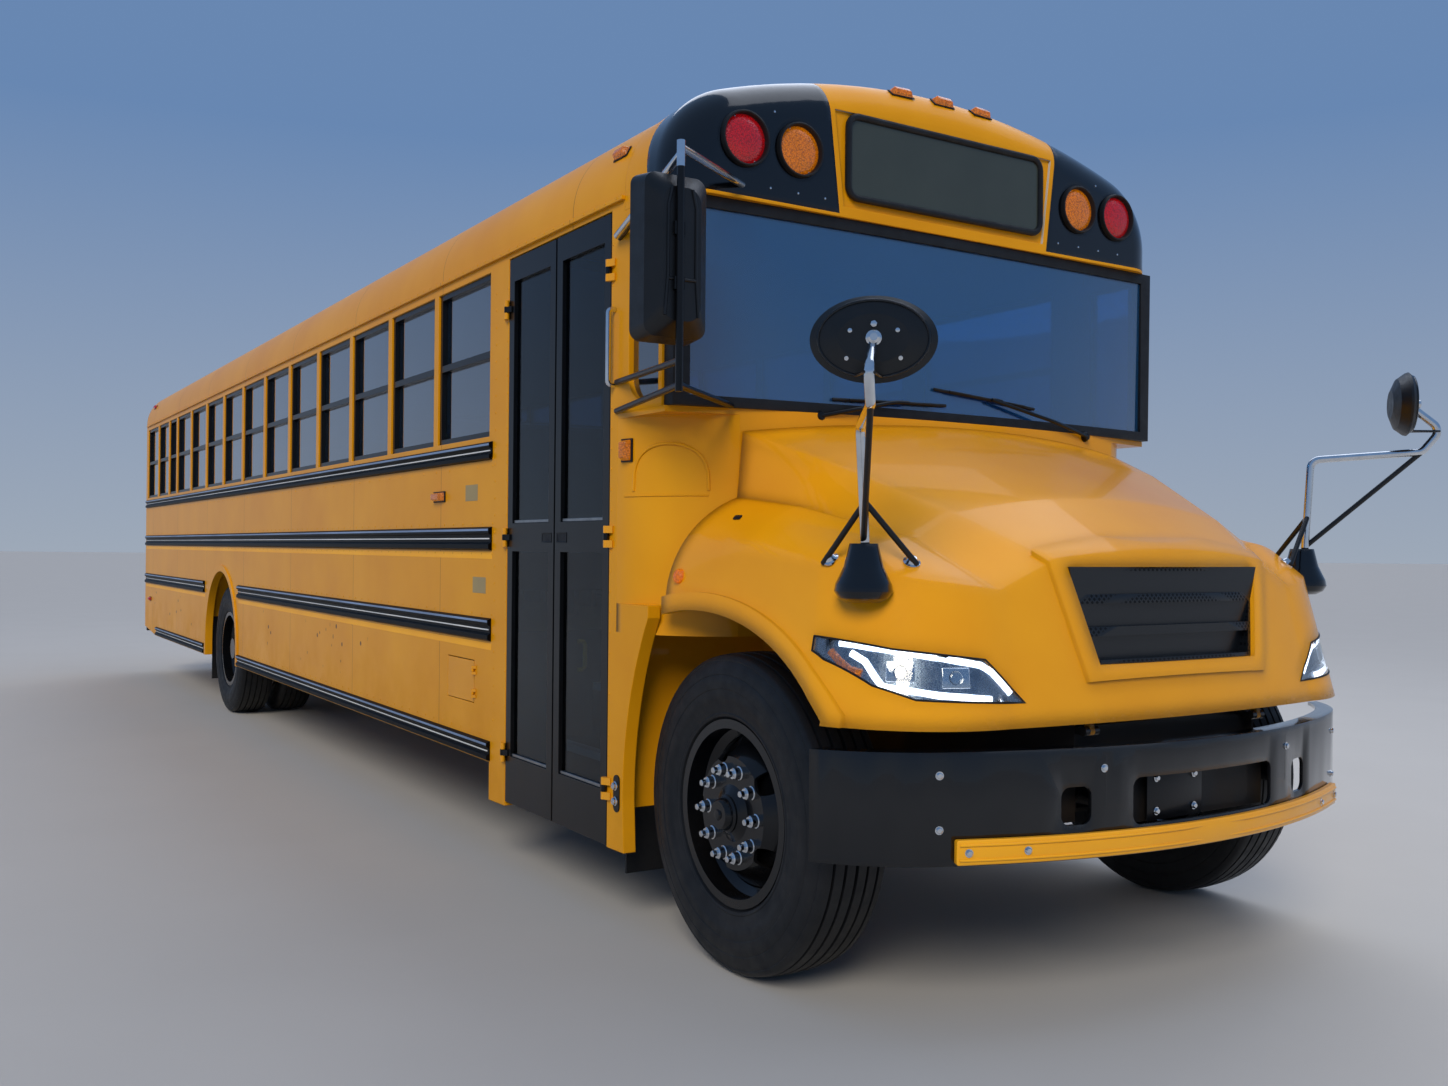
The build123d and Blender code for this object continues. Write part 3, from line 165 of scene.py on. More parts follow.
def turned(name, profile, steps=48, closed=False):
    """A profile of (along, outward) points spun round the X axis: a closed ring, or from the axis on."""
    out = X.orthogonal().normalized()
    ring = profile + profile[:1] if closed else [(0.0, 0.0)] + profile
    piece = pulled(name, [X * a + out * r for a, r in ring])
    bpy.ops.mesh.select_all(action="SELECT")
    bpy.ops.mesh.spin(steps=steps, angle=2 * pi, center=(0, 0, 0), axis=X)
    bpy.ops.mesh.select_all(action="SELECT")
    bpy.ops.mesh.remove_doubles(threshold=1e-5)
    bpy.ops.mesh.normals_make_consistent(inside=False)
    leave()
    return piece


def tube(name, points, radius, sides=3, bend=0.0):
    """A round bar along a line, with so much of each corner cut off round."""
    piece = pulled(name, points)
    if bend:
        ends = (Vector(points[0]), Vector(points[-1]))
        choose("VERT", lambda co: min((co - e).length for e in ends) > 1e-5)
        bpy.ops.mesh.bevel(offset=bend, segments=5, affect="VERTICES")
    hold(piece)
    bpy.ops.object.convert(target="CURVE")
    piece.data.bevel_depth, piece.data.bevel_resolution, piece.data.use_fill_caps = radius, sides, True
    bpy.ops.object.convert(target="MESH")
    leave()
    return piece


def bent(points, radius, steps=6):
    """The points of a line bent round its corners."""
    line = [Vector(points[0])]
    for before, corner, after in zip(points, points[1:], points[2:]):
        corner = Vector(corner)
        come, go = (corner - Vector(before)).normalized(), (Vector(after) - corner).normalized()
        half = come.angle(go) / 2
        middle = corner + (go - come).normalized() * (radius / cos(half))
        start = corner - come * (radius * tan(half)) - middle
        axis = come.cross(go).normalized()
        line += [middle + Matrix.Rotation(2 * half * i / steps, 3, axis) @ start for i in range(steps + 1)]
    return line + [Vector(points[-1])]


def joined(name, pieces):
    """Several pieces as one."""
    leave()
    for piece in pieces:
        piece.select_set(True)
    bpy.context.view_layer.objects.active = pieces[0]
    if len(pieces) > 1:
        bpy.ops.object.join()
    pieces[0].name = name
    leave()
    return pieces[0]


def copied(piece):
    """A copy of a piece with its own mesh."""
    one = piece.copy()
    one.data = piece.data.copy()
    bpy.context.scene.collection.objects.link(one)
    return one


def copies(name, piece, places):
    """One copy of a piece at each matrix, joined as one."""
    made = [copied(piece) for place in places]
    for one, place in zip(made, places):
        one.data.transform(place)
        if place.determinant() < 0:
            one.data.flip_normals()
    bpy.data.objects.remove(piece)
    return joined(name, made)


def at(x, y, z):
    return Matrix.Translation((x, y, z))


MIRROR = Matrix.Diagonal((-1, 1, 1, 1))


def aimed(place, towards):
    """A matrix that puts a piece modelled along +X at a place, pointing another way."""
    return at(*place) @ Vector(towards).to_track_quat("X", "Z").to_matrix().to_4x4()


def both_sides(name, *pieces):
    """Pieces joined as one, with their mirror image."""
    return copies(name, joined(name, pieces), [Matrix.Identity(4), MIRROR])


def applied(piece, kind, **settings):
    """Applies a modifier with its settings."""
    hold(piece)
    made = piece.modifiers.new("shaped", kind)
    for name, value in settings.items():
        setattr(made, name, value)
    bpy.ops.object.modifier_apply(modifier=made.name)
    leave()
    return piece


surfaces = {}


def surface_of(node):
    """A CAD node's surface, for seating small pieces on it."""
    if node not in surfaces:
        mesh = frame["nodes"][node].data
        corners, faces = [v.co for v in mesh.vertices], [p.vertices for p in mesh.polygons]
        surfaces[node] = BVHTree.FromPolygons(corners, faces)
    return surfaces[node]


def seat(node, near, lift=0.0):
    """The nearest place on a node, raised by so much, and the way that the node faces there."""
    spot, normal = surface_of(node).find_nearest(Vector(near))[:2]
    return spot + normal * lift, normal


def seen(node, start, along, lift=0.0):
    """The place that a straight look from a point meets on a node, and the way that it faces."""
    spot, normal = surface_of(node).ray_cast(Vector(start), Vector(along))[:2]
    return spot + normal * lift, normal


def on(node, near, lift=0.0):
    """The matrix that seats a piece modelled along +X on a node."""
    return aimed(*seat(node, near, lift))


def brought(name, data):
    """A camera or lamp brought into the scene."""
    made = bpy.data.objects.new(name, data)
    bpy.context.scene.collection.objects.link(made)
    return made


def mirrored(places):
    return list(places) + [MIRROR @ place for place in places]


# Finishes

def colour(hexes):
    """sRGB hex to linear."""
    parts = [int(hexes[i:i + 2], 16) / 255 for i in (1, 3, 5)]
    return tuple(p / 12.92 if p <= 0.04045 else ((p + 0.055) / 1.055) ** 2.4 for p in parts) + (1.0,)


RGBA = {"out": 2, "data_type": "RGBA"}


def add(tree, kind, inputs=(), out=0, **settings):
    """Adds a shader node with its settings, and gives one of its outputs.

    An input is a number, a colour or another node's output, and inputs without names come in the node's order.
    Map Range takes a value, its range and what that range becomes; Mix takes 0 an amount, 6 and 7 two colours.
    """
    made = tree.nodes.new("ShaderNode" + kind)
    for name, value in settings.items():
        setattr(made, name, value)
    for name, value in inputs.items() if isinstance(inputs, dict) else enumerate(inputs):
        if isinstance(value, bpy.types.NodeSocket):
            tree.links.new(value, made.inputs[name])
        else:
            made.inputs[name].default_value = colour(value) if isinstance(value, str) else value
    return made.outputs[out]


def started(name, **sockets):
    """A new material with numbers set on its shader, its node tree, and its place on the object."""
    made = bpy.data.materials.new(name)
    made.use_nodes = True
    for socket, value in sockets.items():
        made.node_tree.nodes["Principled BSDF"].inputs[socket.replace("_", " ")].default_value = value
    return made, made.node_tree, add(made.node_tree, "TexCoord", out="Object")


def ended(tree, wires, relief=None, strength=0.5, depth=0.0004, fold=0.0):
    """Leads outputs to the shader's sockets; a relief is so deep, its creases rolled over a radius."""
    shader = tree.nodes["Principled BSDF"]
    if relief:
        raised = {"Strength": strength, "Distance": depth, "Height": relief}
        if fold:
            raised["Normal"] = add(tree, "Bevel", {"Radius": fold}, samples=6)
        wires["Normal"] = add(tree, "Bump", raised)
    for socket, wire in wires.items():
        tree.links.new(wire, shader.inputs[socket])


def blots(tree, place, size, low, high, start=0.0, end=1.0, detail=4.0):
    """Blots about so many metres across: noise between low and high is stretched from start to end."""
    noise = add(tree, "TexNoise", {"Vector": place, "Scale": 1 / size, "Detail": detail, "Roughness": 0.55})
    return add(tree, "MapRange", (noise, low, high, start, end))


def uneven(tree, place, size, main, deep):
    """A colour that wanders between two, in blots about so many metres across."""
    return add(tree, "Mix", {0: blots(tree, place, size, 0.3, 0.7), 6: main, 7: deep}, **RGBA)


def road_dirt(tree, place, paint, top, amount, dust="#5f4c34"):
    """Dried splash from the road, thinning out up to a height: the dirty paint, and how far it is covered."""
    height = add(tree, "SeparateXYZ", {"Vector": place}, "Z")
    low = add(tree, "MapRange", (height, 0.25, top, 1.0, 0.0))
    cover = add(tree, "Math", (low, blots(tree, place, 0.22, 0.35, 0.75, detail=8.0)), operation="MULTIPLY")
    some = add(tree, "Math", (cover, amount), operation="MULTIPLY")
    return add(tree, "Mix", {0: some, 6: paint, 7: dust}, **RGBA), cover


def wall_marks(tree, place, paint):
    """Thin dark joints where the sheets lap every 1.44 m, and chips from road grit low on the panels."""
    parts = add(tree, "SeparateXYZ", {"Vector": place}).node.outputs
    phase = add(tree, "Math", (parts["Y"], -2.9), operation="SUBTRACT")
    phase = add(tree, "Math", (phase, 0.72), operation="PINGPONG")
    line = add(tree, "MapRange", (phase, 0.0015, 0.0035, 0.8, 0.0))
    paint = add(tree, "Mix", {0: line, 6: paint, 7: "#7a4c08"}, **RGBA)
    cells = add(tree, "TexVoronoi", {"Vector": place, "Scale": 1 / 0.11})
    chips = add(tree, "MapRange", (cells, 0.11, 0.15, 1.0, 0.0))
    for band in (blots(tree, place, 0.7, 0.56, 0.60, detail=1.0), add(tree, "MapRange", (parts["Z"], 0.62, 0.66)),
                 add(tree, "MapRange", (parts["Z"], 0.90, 0.94, 1.0, 0.0))):
        chips = add(tree, "Math", (chips, band), operation="MULTIPLY")
    return add(tree, "Mix", {0: chips, 6: paint, 7: "#4a3010"}, **RGBA)


def black_ahead(tree, place, paint):
    """The hinges ahead of the front axle hold the hood, and are black as the chassis is."""
    along = add(tree, "SeparateXYZ", {"Vector": place}, "Y")
    ahead = add(tree, "MapRange", (along, -5.60, -5.59, 1.0, 0.0))
    return add(tree, "Mix", {0: ahead, 6: paint, 7: "#08090b"}, **RGBA)


def lined(tree, place, paint):
    """The inner faces of the walls and roof are lined with pale grey sheet."""
    parts = add(tree, "SeparateXYZ", {"Vector": place}).node.outputs
    above = add(tree, "Math", (parts["Z"], 2.62), operation="SUBTRACT")
    above = add(tree, "Math", (above, 0.0), operation="MAXIMUM")
    outward = add(tree, "CombineXYZ", {"X": parts["X"], "Z": above})
    facing = add(tree, "TexCoord", out="Normal")
    inward = add(tree, "VectorMath", (facing, outward), "Value", operation="DOT_PRODUCT")
    inside = add(tree, "MapRange", (inward, -0.32, -0.24, 1.0, 0.0))
    return add(tree, "Mix", {0: inside, 6: paint, 7: "#b9bab6"}, **RGBA)


def enamel(name, main, deep, dirt_top=0.95, dirt=0.5, roughness=0.32, coat=0.6, shine=0.32, fold=0.0, marks=None,
           lining=None):
    """Sprayed enamel on sheet steel: a glossy coat with faint orange peel, slightly uneven in colour."""
    made, tree, place = started(name, Roughness=roughness, Coat_Weight=coat, Coat_Roughness=0.04, IOR=1.4,
                                Specular_IOR_Level=shine)
    paint = uneven(tree, place, 0.6, main, deep)
    if marks:
        paint = marks(tree, place, paint)
    paint, cover = road_dirt(tree, place, paint, dirt_top, dirt)
    if lining:
        paint = lining(tree, place, paint)
    dull = add(tree, "MapRange", (cover, 0.0, 0.6, roughness, roughness + dirt))
    # Orange peel has waves of 3 to 6 mm, on sheet that swells a little every 350 mm
    waves = add(tree, "TexNoise", {"Vector": place, "Scale": 1 / 0.005, "Detail": 1.0})
    swell = add(tree, "TexNoise", {"Vector": place, "Scale": 1 / 0.35, "Detail": 1.0, "Roughness": 0.55})
    height = add(tree, "Math", (swell, 14.0, waves), operation="MULTIPLY_ADD")
    ended(tree, {"Base Color": paint, "Roughness": dull}, height, 0.2, 0.0006, fold)
    return made


def moulded(name, main, deep, roughness=0.55, grain=0.0012, depth=0.0004, dirt=0.25, dirt_top=0.9):
    """Moulded rubber or plastic: a fine grain, dust in it, and a duller patch here and there."""
    made, tree, place = started(name, Roughness=roughness, IOR=1.5)
    base = road_dirt(tree, place, uneven(tree, place, 0.09, main, deep), dirt_top, dirt, "#5f574c")[0]
    dull = blots(tree, place, 0.05, 0.3, 0.75, roughness - 0.08, roughness + 0.12)
    pores = add(tree, "TexVoronoi", {"Vector": place, "Scale": 1 / grain})
    ended(tree, {"Base Color": base, "Roughness": dull}, pores, 0.5, depth)
    return made


def metal(name, main, deep, roughness=0.3, metallic=1.0, brush=False, dirt=0.3, rust=0.0):
    """Bare or plated metal: brushed or cast, with dull handling marks and road dirt low down."""
    made, tree, place = started(name, Metallic=metallic, Roughness=roughness)
    base, wires = uneven(tree, place, 0.05, main, deep), {}
    if rust:
        spots = add(tree, "TexNoise", {"Vector": place, "Scale": 1 / 0.04, "Detail": 9.0, "Roughness": 0.7})
        spots = add(tree, "MapRange", (spots, 0.62 - rust * 0.2, 0.72))
        base = add(tree, "Mix", {0: spots, 6: base, 7: "#6b3a1e"}, **RGBA)
        wires["Metallic"] = add(tree, "MapRange", (spots, 0.0, 1.0, metallic, 0.0))
    wires["Base Color"] = road_dirt(tree, place, base, 0.9, dirt)[0]
    lines = add(tree, "Mapping", {"Vector": place, "Scale": (40.0, 40.0, 900.0) if brush else (300.0,) * 3})
    grit = add(tree, "TexNoise", {"Vector": lines, "Scale": 1.0, "Detail": 2.0})
    wires["Roughness"] = add(tree, "MapRange", (grit, 0.3, 0.7, roughness - 0.06, roughness + 0.1))
    ended(tree, wires, grit, 0.25, 0.0003)
    return made


def glazing(name, tint, clear=0.9, film="#8d8a80", mirror=1.5, haze=0.1, glare=1.0, index=1.5):
    """Float glass: smooth, tinted in the mass, with a thin film in patches: dust-coloured on the lenses, sky blue on
    the windows, where it is a painted sky reflection.
    """
    made, tree, place = started(name, Transmission_Weight=clear, Roughness=0.01, IOR=index, Coat_Weight=glare,
                                Coat_Roughness=0.01, Coat_IOR=mirror)
    # Patches of film: dust on the lenses; painted sky reflection where the film is sky blue
    dust = blots(tree, place, 0.5, 0.45, 0.9, 0.0, haze, 6.0)
    base = add(tree, "Mix", {0: dust, 6: tint, 7: film}, **RGBA)
    dull = add(tree, "MapRange", (dust, 0.0, 0.2, 0.01, 0.06))
    ended(tree, {"Base Color": base, "Roughness": dull})
    return made


def lens(name, tint, glow):
    """Moulded polycarbonate lens: coloured in the mass, with 6 mm prisms on its inner face."""
    made, tree, place = started(name, Transmission_Weight=0.55, Roughness=0.15, IOR=1.58, Coat_Weight=0.3,
                                Coat_Roughness=0.02, Emission_Strength=glow)
    prisms = add(tree, "TexVoronoi", {"Vector": place, "Scale": 1 / 0.006}, distance="CHEBYCHEV")
    shade = add(tree, "MapRange", (prisms, 0.1, 0.6, 0.0, 0.55))
    base = add(tree, "Mix", {0: shade, 6: tint, 7: (0.02, 0.004, 0.002, 1)}, **RGBA)
    ended(tree, {"Base Color": base, "Emission Color": base}, prisms, 0.6, 0.0015)
    return made


# School bus enamel, golden orange-yellow: glossy, a touch deeper in patches, dusty along the skirts
yellow = enamel("yellow_enamel_on_steel", "#e09c10", "#d6900a", dirt=0.2, coat=0.25, shine=0.2)
yellow_walls = enamel("yellow_enamel_on_lined_walls", "#e09c10", "#d6900a", dirt=0.2, coat=0.12, shine=0.16,
                      fold=0.006, marks=wall_marks, lining=lined)
hinge_paint = enamel("yellow_and_black_enamel_on_hinges", "#e09c10", "#d6900a", dirt=0.25, marks=black_ahead)
# Gelcoat on the moulded hood: smoother and clearer than the walls, its creases soft folds
yellow_plastic = enamel("yellow_gelcoat_on_hood", "#e8a110", "#e0960a", dirt=0.2, roughness=0.26, coat=0.35,
                        shine=0.26, fold=0.085)
# Gloss black enamel: deep reflections on the bumper and lamp panels
black_gloss = enamel("gloss_black_enamel", "#020408", "#04060b", dirt_top=0.8, dirt=0.03, roughness=0.11, coat=0.8,
                     fold=0.03)
# Weathered to a low sheen: the rails read black from far along the side
rail_black = enamel("weathered_black_enamel_on_rails", "#030406", "#06080b", dirt=0.04, roughness=0.42, coat=0.0,
                    shine=0.12)
# Painted sky reflection along the rails' upper edges: pale blue-grey, as the sky shows on their top bevels
rail_sky_reflection = enamel("worn_pale_edge_of_rails", "#7f9bc4", "#5f7698", dirt=0.1, roughness=0.35, coat=0.2)
# Satin black enamel: the door leaves and frames, softer reflections
black_satin = enamel("satin_black_enamel", "#07090c", "#0b0d11", dirt=0.05, roughness=0.34, coat=0.2)
rim_black = enamel("black_enamel_on_wheel_discs", "#05070a", "#080b10", dirt=0.04, roughness=0.24, coat=0.4)
# Tyre rubber: matt black, a little grey with dust in its grooves
tyre_rubber = moulded("tyre_rubber", "#090b0e", "#0e1014", roughness=0.6, grain=0.004, depth=0.0005, dirt=0.06)
# Sponge rubber: matt and soft, round panes and lamps
soft_rubber = moulded("sponge_rubber_seals", "#0b0c0e", "#121316", roughness=0.6, dirt=0.1)
# Polypropylene: a fine even grain with a dull sheen
black_plastic = moulded("black_grained_polypropylene", "#07090b", "#0c0e12", roughness=0.4, dirt=0.04)
# Floor rubber: dark grey and scuffed, dusty from shoes
floor_rubber = moulded("ribbed_floor_rubber", "#1c1d1e", "#262728", roughness=0.7, dirt=0.3, dirt_top=1.4)
# Chrome plate: clear bright reflections
chrome = metal("chrome_plate", "#e6e8ea", "#d6d9dc", roughness=0.08, dirt=0.1)
# White: a thin line along the middle of each rail, a painted highlight, and the white nosing along the steps
white_nosing_and_rail_highlight = enamel("worn_white_edge_of_rails", "#dfe3e6", "#b9c0c6", dirt=0.15, roughness=0.4)
# Glue left where stickers came off: dull and brownish grey
residue = enamel("grey_residue_of_removed_stickers", "#a59468", "#857a62", dirt=0.0, roughness=0.5, coat=0.0)
# Anodised aluminium: satin, with fine brushing along its length
aluminium = metal("satin_anodised_aluminium", "#a9abad", "#8f9294", roughness=0.34, brush=True, dirt=0.2)
# Steel below the floor: dull, with rust in spots; iron castings: grey paint, rusting through
bare_steel = metal("worn_bare_steel", "#8b8884", "#6e6a66", roughness=0.38, rust=0.35)
cast_grey = metal("grey_painted_cast_iron", "#4a4d50", "#3a3c3f", roughness=0.55, metallic=0.3, rust=0.2)
# Chassis paint: black, dull and dusty
chassis_black = enamel("black_chassis_paint", "#0e0f12", "#161719", dirt_top=1.1, dirt=0.3, roughness=0.5, coat=0.1)
# Safety glass: blue-grey at the side, darker in the door, bluer at the front, with a thin film in patches; the sky
# blue film on the side panes and windscreen is a painted sky reflection, and the windscreen's deep blue is partly its
# tint, partly a painted sky reflection
tinted_glass = glazing("grey_tinted_safety_glass", "#40658a", clear=0.94, film="#6f9ace", mirror=2.15, haze=0.25)
door_glass = glazing("dark_tinted_door_glass", "#6c8799", clear=1.0, film="#1c2c3c", glare=0.0, index=1.3)
clear_glass = glazing("laminated_windscreen_glass", "#2b74b4", clear=0.76, film="#4a8ccb", mirror=2.0, haze=0.25)
# Polycarbonate: coloured in the mass over rows of small prisms, or hard-coated and clear
red_lens = lens("red_polycarbonate_lens", "#e00f1c", 0.20)
amber_lens = lens("amber_polycarbonate_lens", "#f58a00", 0.28)
clear_lens = glazing("hard_coated_clear_polycarbonate", "#eef2f4", clear=1.0, film="#d8d4c8")
# Reflective sheet under the rails: brighter than the paint
bright_strip = enamel("worn_reflective_yellow_sheet", "#ffb700", "#f4a905", dirt=0.1, roughness=0.4, coat=0.1)
# Vacuum-metallised grey plastic inside the headlamps: dark, with blurred reflections
bucket_grey = metal("metallised_grey_plastic", "#8b98a8", "#6d7a8a", roughness=0.25, metallic=0.8, dirt=0.0)
# Yellow-painted aluminium bumper strip, a little brighter than the body
strip_yellow = enamel("yellow_painted_aluminium", "#f2ac10", "#e8a00c", dirt=0.1, roughness=0.3)
# Sign glass over a dark box: an opaque, smooth grey-green that is painted shade of the box behind the glass with a
# painted reflection on it
sign_shade_and_reflection = enamel("grey_green_backed_sign_glass", "#343b38", "#3c4440", dirt=0.0, roughness=0.2, coat=0.5)


def lit():
    """White light guides of the headlamps, switched on as in the photograph."""
    made, tree, place = started("lit_white_light_guide", Roughness=0.2, Emission_Strength=3.0)
    cells = add(tree, "TexVoronoi", {"Vector": place, "Scale": 1 / 0.012})
    cells = add(tree, "MapRange", (cells, 0.0, 0.6))
    glow = add(tree, "Mix", {0: cells, 6: "#ffffff", 7: "#dbe8ff"}, **RGBA)
    ended(tree, {"Base Color": glow, "Emission Color": glow})
    return made


def vinyl():
    """Seat vinyl: dark blue-grey leather grain of about 3 mm, shiny where it is sat on."""
    made, tree, place = started("grained_seat_vinyl", Roughness=0.45, IOR=1.5, Sheen_Weight=0.1)
    grain = add(tree, "TexVoronoi", {"Vector": place, "Scale": 1 / 0.003})
    cover = uneven(tree, place, 0.12, "#232a36", "#2d3644")
    ended(tree, {"Base Color": cover, "Roughness": blots(tree, place, 0.15, 0.3, 0.7, 0.36, 0.52)}, grain, 0.4, 0.0006)
    return made


def mesh_screen():
    """The grille's woven screen: shiny black plastic wires round dull openings, every 14 mm; the openings are pure
    black, painted shade of the dark space behind the screen.
    """
    made, tree, place = started("black_plastic_mesh", Coat_Weight=0.1)
    turned_place = add(tree, "Mapping", {"Vector": place, "Rotation": (0.0, radians(45), 0.0)})
    cells = add(tree, "TexVoronoi", {"Vector": turned_place, "Scale": 1 / 0.014, "Randomness": 0.0},
                distance="CHEBYCHEV")
    # The openings: pure black, painted shade
    openings_painted_shade = add(tree, "MapRange", (cells, 0.28, 0.36, 1.0, 0.0))
    dull = add(tree, "MapRange", (openings_painted_shade, 0.0, 1.0, 0.28, 0.9))
    base = add(tree, "Mix", {0: openings_painted_shade, 6: "#0d1014", 7: "#000000"}, **RGBA)
    ended(tree, {"Base Color": base, "Roughness": dull}, cells, 0.8, 0.002)
    return made


def stop_sheet():
    """The stop arm's reflective sheet: red with a white border, its lettering left off."""
    made, tree, place = started("red_reflective_sheet_with_white_border", Roughness=0.35, Coat_Weight=0.4)
    middle = add(tree, "VectorMath", (place, (0.0, -4.160, 1.620)), operation="SUBTRACT")
    middle = add(tree, "VectorMath", (middle,), operation="ABSOLUTE")
    parts = add(tree, "SeparateXYZ", {"Vector": middle}).node.outputs
    # An octagon's reach: the larger of its straight and its slanting distance from the middle
    across = add(tree, "Math", (parts["Y"], parts["Z"]), operation="MAXIMUM")
    corner = add(tree, "Math", (parts["Y"], parts["Z"]), operation="ADD")
    corner = add(tree, "Math", (corner, 0.7071), operation="MULTIPLY")
    reach = add(tree, "Math", (across, corner), operation="MAXIMUM")
    border = add(tree, "MapRange", (reach, 0.194, 0.196))
    red = add(tree, "TexNoise", {"Vector": place, "Scale": 1 / 0.08, "Detail": 4.0, "Roughness": 0.55})
    red = add(tree, "Mix", {0: red, 6: "#b0141a", 7: "#9c1015"}, **RGBA)
    base = add(tree, "Mix", {0: border, 6: red, 7: "#e4e4e0"}, **RGBA)
    beads = add(tree, "TexVoronoi", {"Vector": place, "Scale": 1 / 0.002})
    ended(tree, {"Base Color": base}, beads, 0.2, 0.0002)
    return made


light_guide, seat_vinyl, grille_mesh, stop_red = lit(), vinyl(), mesh_screen(), stop_sheet()

CAD_FINISHES = {
    yellow_walls: "side_wall_left side_wall_right roof rear_wall front_cap",
    yellow: "cowl rear_door fuel_door roof_hatch_front roof_hatch_rear body_floor",
    hinge_paint: "hinge_brackets",
    yellow_plastic: "hood_shell",
    strip_yellow: "bumper_strip",
    black_gloss: "front_bumper lamp_panels rear_bumper mirror_pods",
    rail_black: "rub_rails",
    black_satin: "door_leaf_front door_leaf_rear mirror_arms window_frames",
    rim_black: "front_rim_left front_rim_right rear_rims_left rear_rims_right",
    soft_rubber: "windshield_frame mud_flaps",
    black_plastic: "wing_mirror crossview_mirrors dashboard steering_wheel",
    grille_mesh: "grille",
    floor_rubber: "step_well",
    chassis_black: "frame_rails axles leaf_springs fuel_tank knuckle_left knuckle_right",
    cast_grey: "engine_block",
    bare_steel: "driveline exhaust seat_frames",
    tinted_glass: "window_glass rear_door_glass",
    door_glass: "door_glass_front door_glass_rear",
    clear_glass: "windshield",
    stop_red: "stop_arm",
}
for finish, names in CAD_FINISHES.items():
    for name in names.split():
        if name in frame["nodes"]:
            frame["nodes"][name].data.materials.clear()
            frame["nodes"][name].data.materials.append(finish)


def done(piece, finish, angle=35, body="bus"):
    """Gives a piece its finish and the body that it moves with."""
    hold(piece)
    bpy.ops.object.shade_smooth_by_angle(angle=radians(angle))
    leave()
    piece.data.materials.clear()
    piece.data.materials.append(finish)
    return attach(piece, body)


# Pressed and folded sheet has round edges that catch the light
for names, width in (("front_bumper rear_bumper", 0.010), ("rub_rails", 0.0025), ("bumper_strip", 0.006),
                     ("door_leaf_front door_leaf_rear window_frames windshield_frame", 0.0015), ("grille", 0.004),
                     ("stop_arm fuel_door rear_door roof_hatch_front roof_hatch_rear", 0.001)):
    for name in names.split():
        node = frame["nodes"][name]
        node.modifiers.new("merged", "WELD").merge_threshold = 1e-5
        rounded = node.modifiers.new("round_edges", "BEVEL")
        rounded.width, rounded.segments, rounded.limit_method = width, 3, "ANGLE"
        rounded.angle_limit, rounded.harden_normals = radians(35), True

# Tyres: five grooves in the tread, a bead ring and fine rings on the sidewall
HALF_SECTION = [
    (0.000, 0.509), (0.004, 0.509), (0.006, 0.5215), (0.037, 0.5205), (0.039, 0.508), (0.045, 0.508),
    (0.047, 0.5198), (0.079, 0.5178), (0.081, 0.506), (0.087, 0.506), (0.089, 0.5168), (0.108, 0.5135),
    (0.117, 0.508), (0.1235, 0.498), (0.1225, 0.494), (0.1285, 0.486), (0.1335, 0.468), (0.1365, 0.452),
    (0.1352, 0.449), (0.1385, 0.443), (0.1392, 0.420), (0.1385, 0.405), (0.1365, 0.402), (0.1372, 0.385),
    (0.1345, 0.366), (0.1322, 0.362), (0.1302, 0.348), (0.1235, 0.326), (0.1255, 0.322), (0.1225, 0.313),
    (0.1120, 0.309), (0.1060, 0.300), (0.1040, 0.287), (0.094, 0.287), (0.090, 0.305), (0.112, 0.360),
    (0.118, 0.420), (0.105, 0.482), (0.000, 0.496),
]
SECTION = HALF_SECTION + [(-a, r) for a, r in reversed(HALF_SECTION[1:-1])]
tyre = turned("tyre", SECTION, 96, closed=True)
for node, body, y, xs in (("front_tyre_", "front_wheel_", FRONT_AXLE, (1.012,)),
                          ("rear_tyres_", "rear_wheels_", REAR_AXLE, (1.030, 0.700))):
    for side, sign in (("left", 1), ("right", -1)):
        piece = copies("treaded_" + node + side, copied(tyre), [at(sign * x, y, TYRE_RADIUS) for x in xs])
        done(piece, tyre_rubber, 28, body + side)
        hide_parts(node + side)
bpy.data.objects.remove(tyre)

# Wheel nuts: a washer, a six-sided nut and the stud's end, ten on each wheel
NUT = [(0.0, 0.023), (0.004, 0.023), (0.006, 0.0195), (0.026, 0.0195), (0.030, 0.016),
       (0.030, 0.0105), (0.046, 0.0105), (0.048, 0.009), (0.048, 0.0)]
CAP = [(0.0, 0.0615), (0.006, 0.0615), (0.012, 0.054), (0.030, 0.050), (0.036, 0.044), (0.036, 0.018),
       (0.042, 0.015), (0.044, 0.0)]
BOLT_CIRCLE = 0.143
for side, turn in (("left", Matrix.Identity(4)), ("right", MIRROR)):
    for body, y, face in (("front_wheel_", FRONT_AXLE, 1.124), ("rear_wheels_", REAR_AXLE, 0.871)):
        places = [turn @ at(0, y, TYRE_RADIUS) @ Matrix.Rotation(tau * (i + 0.5) / 10, 4, "X")
                  @ at(face, 0, BOLT_CIRCLE) for i in range(10)]
        done(copies("wheel_nuts_" + body + side, turned("nut", NUT, 18), places), chrome, 30, body + side)
    cap = copies("hub_cap_" + side, turned("cap", CAP, 40), [turn @ at(1.142, FRONT_AXLE, TYRE_RADIUS)])
    done(cap, rim_black, body="front_wheel_" + side)

# Seats: cushions and backs swell between their seams; one of each is modelled and copied.
# The driver's back leans back so much for each metre up.
CELL, SEAT_PITCH, LEAN = 0.024, 0.760, 0.0985


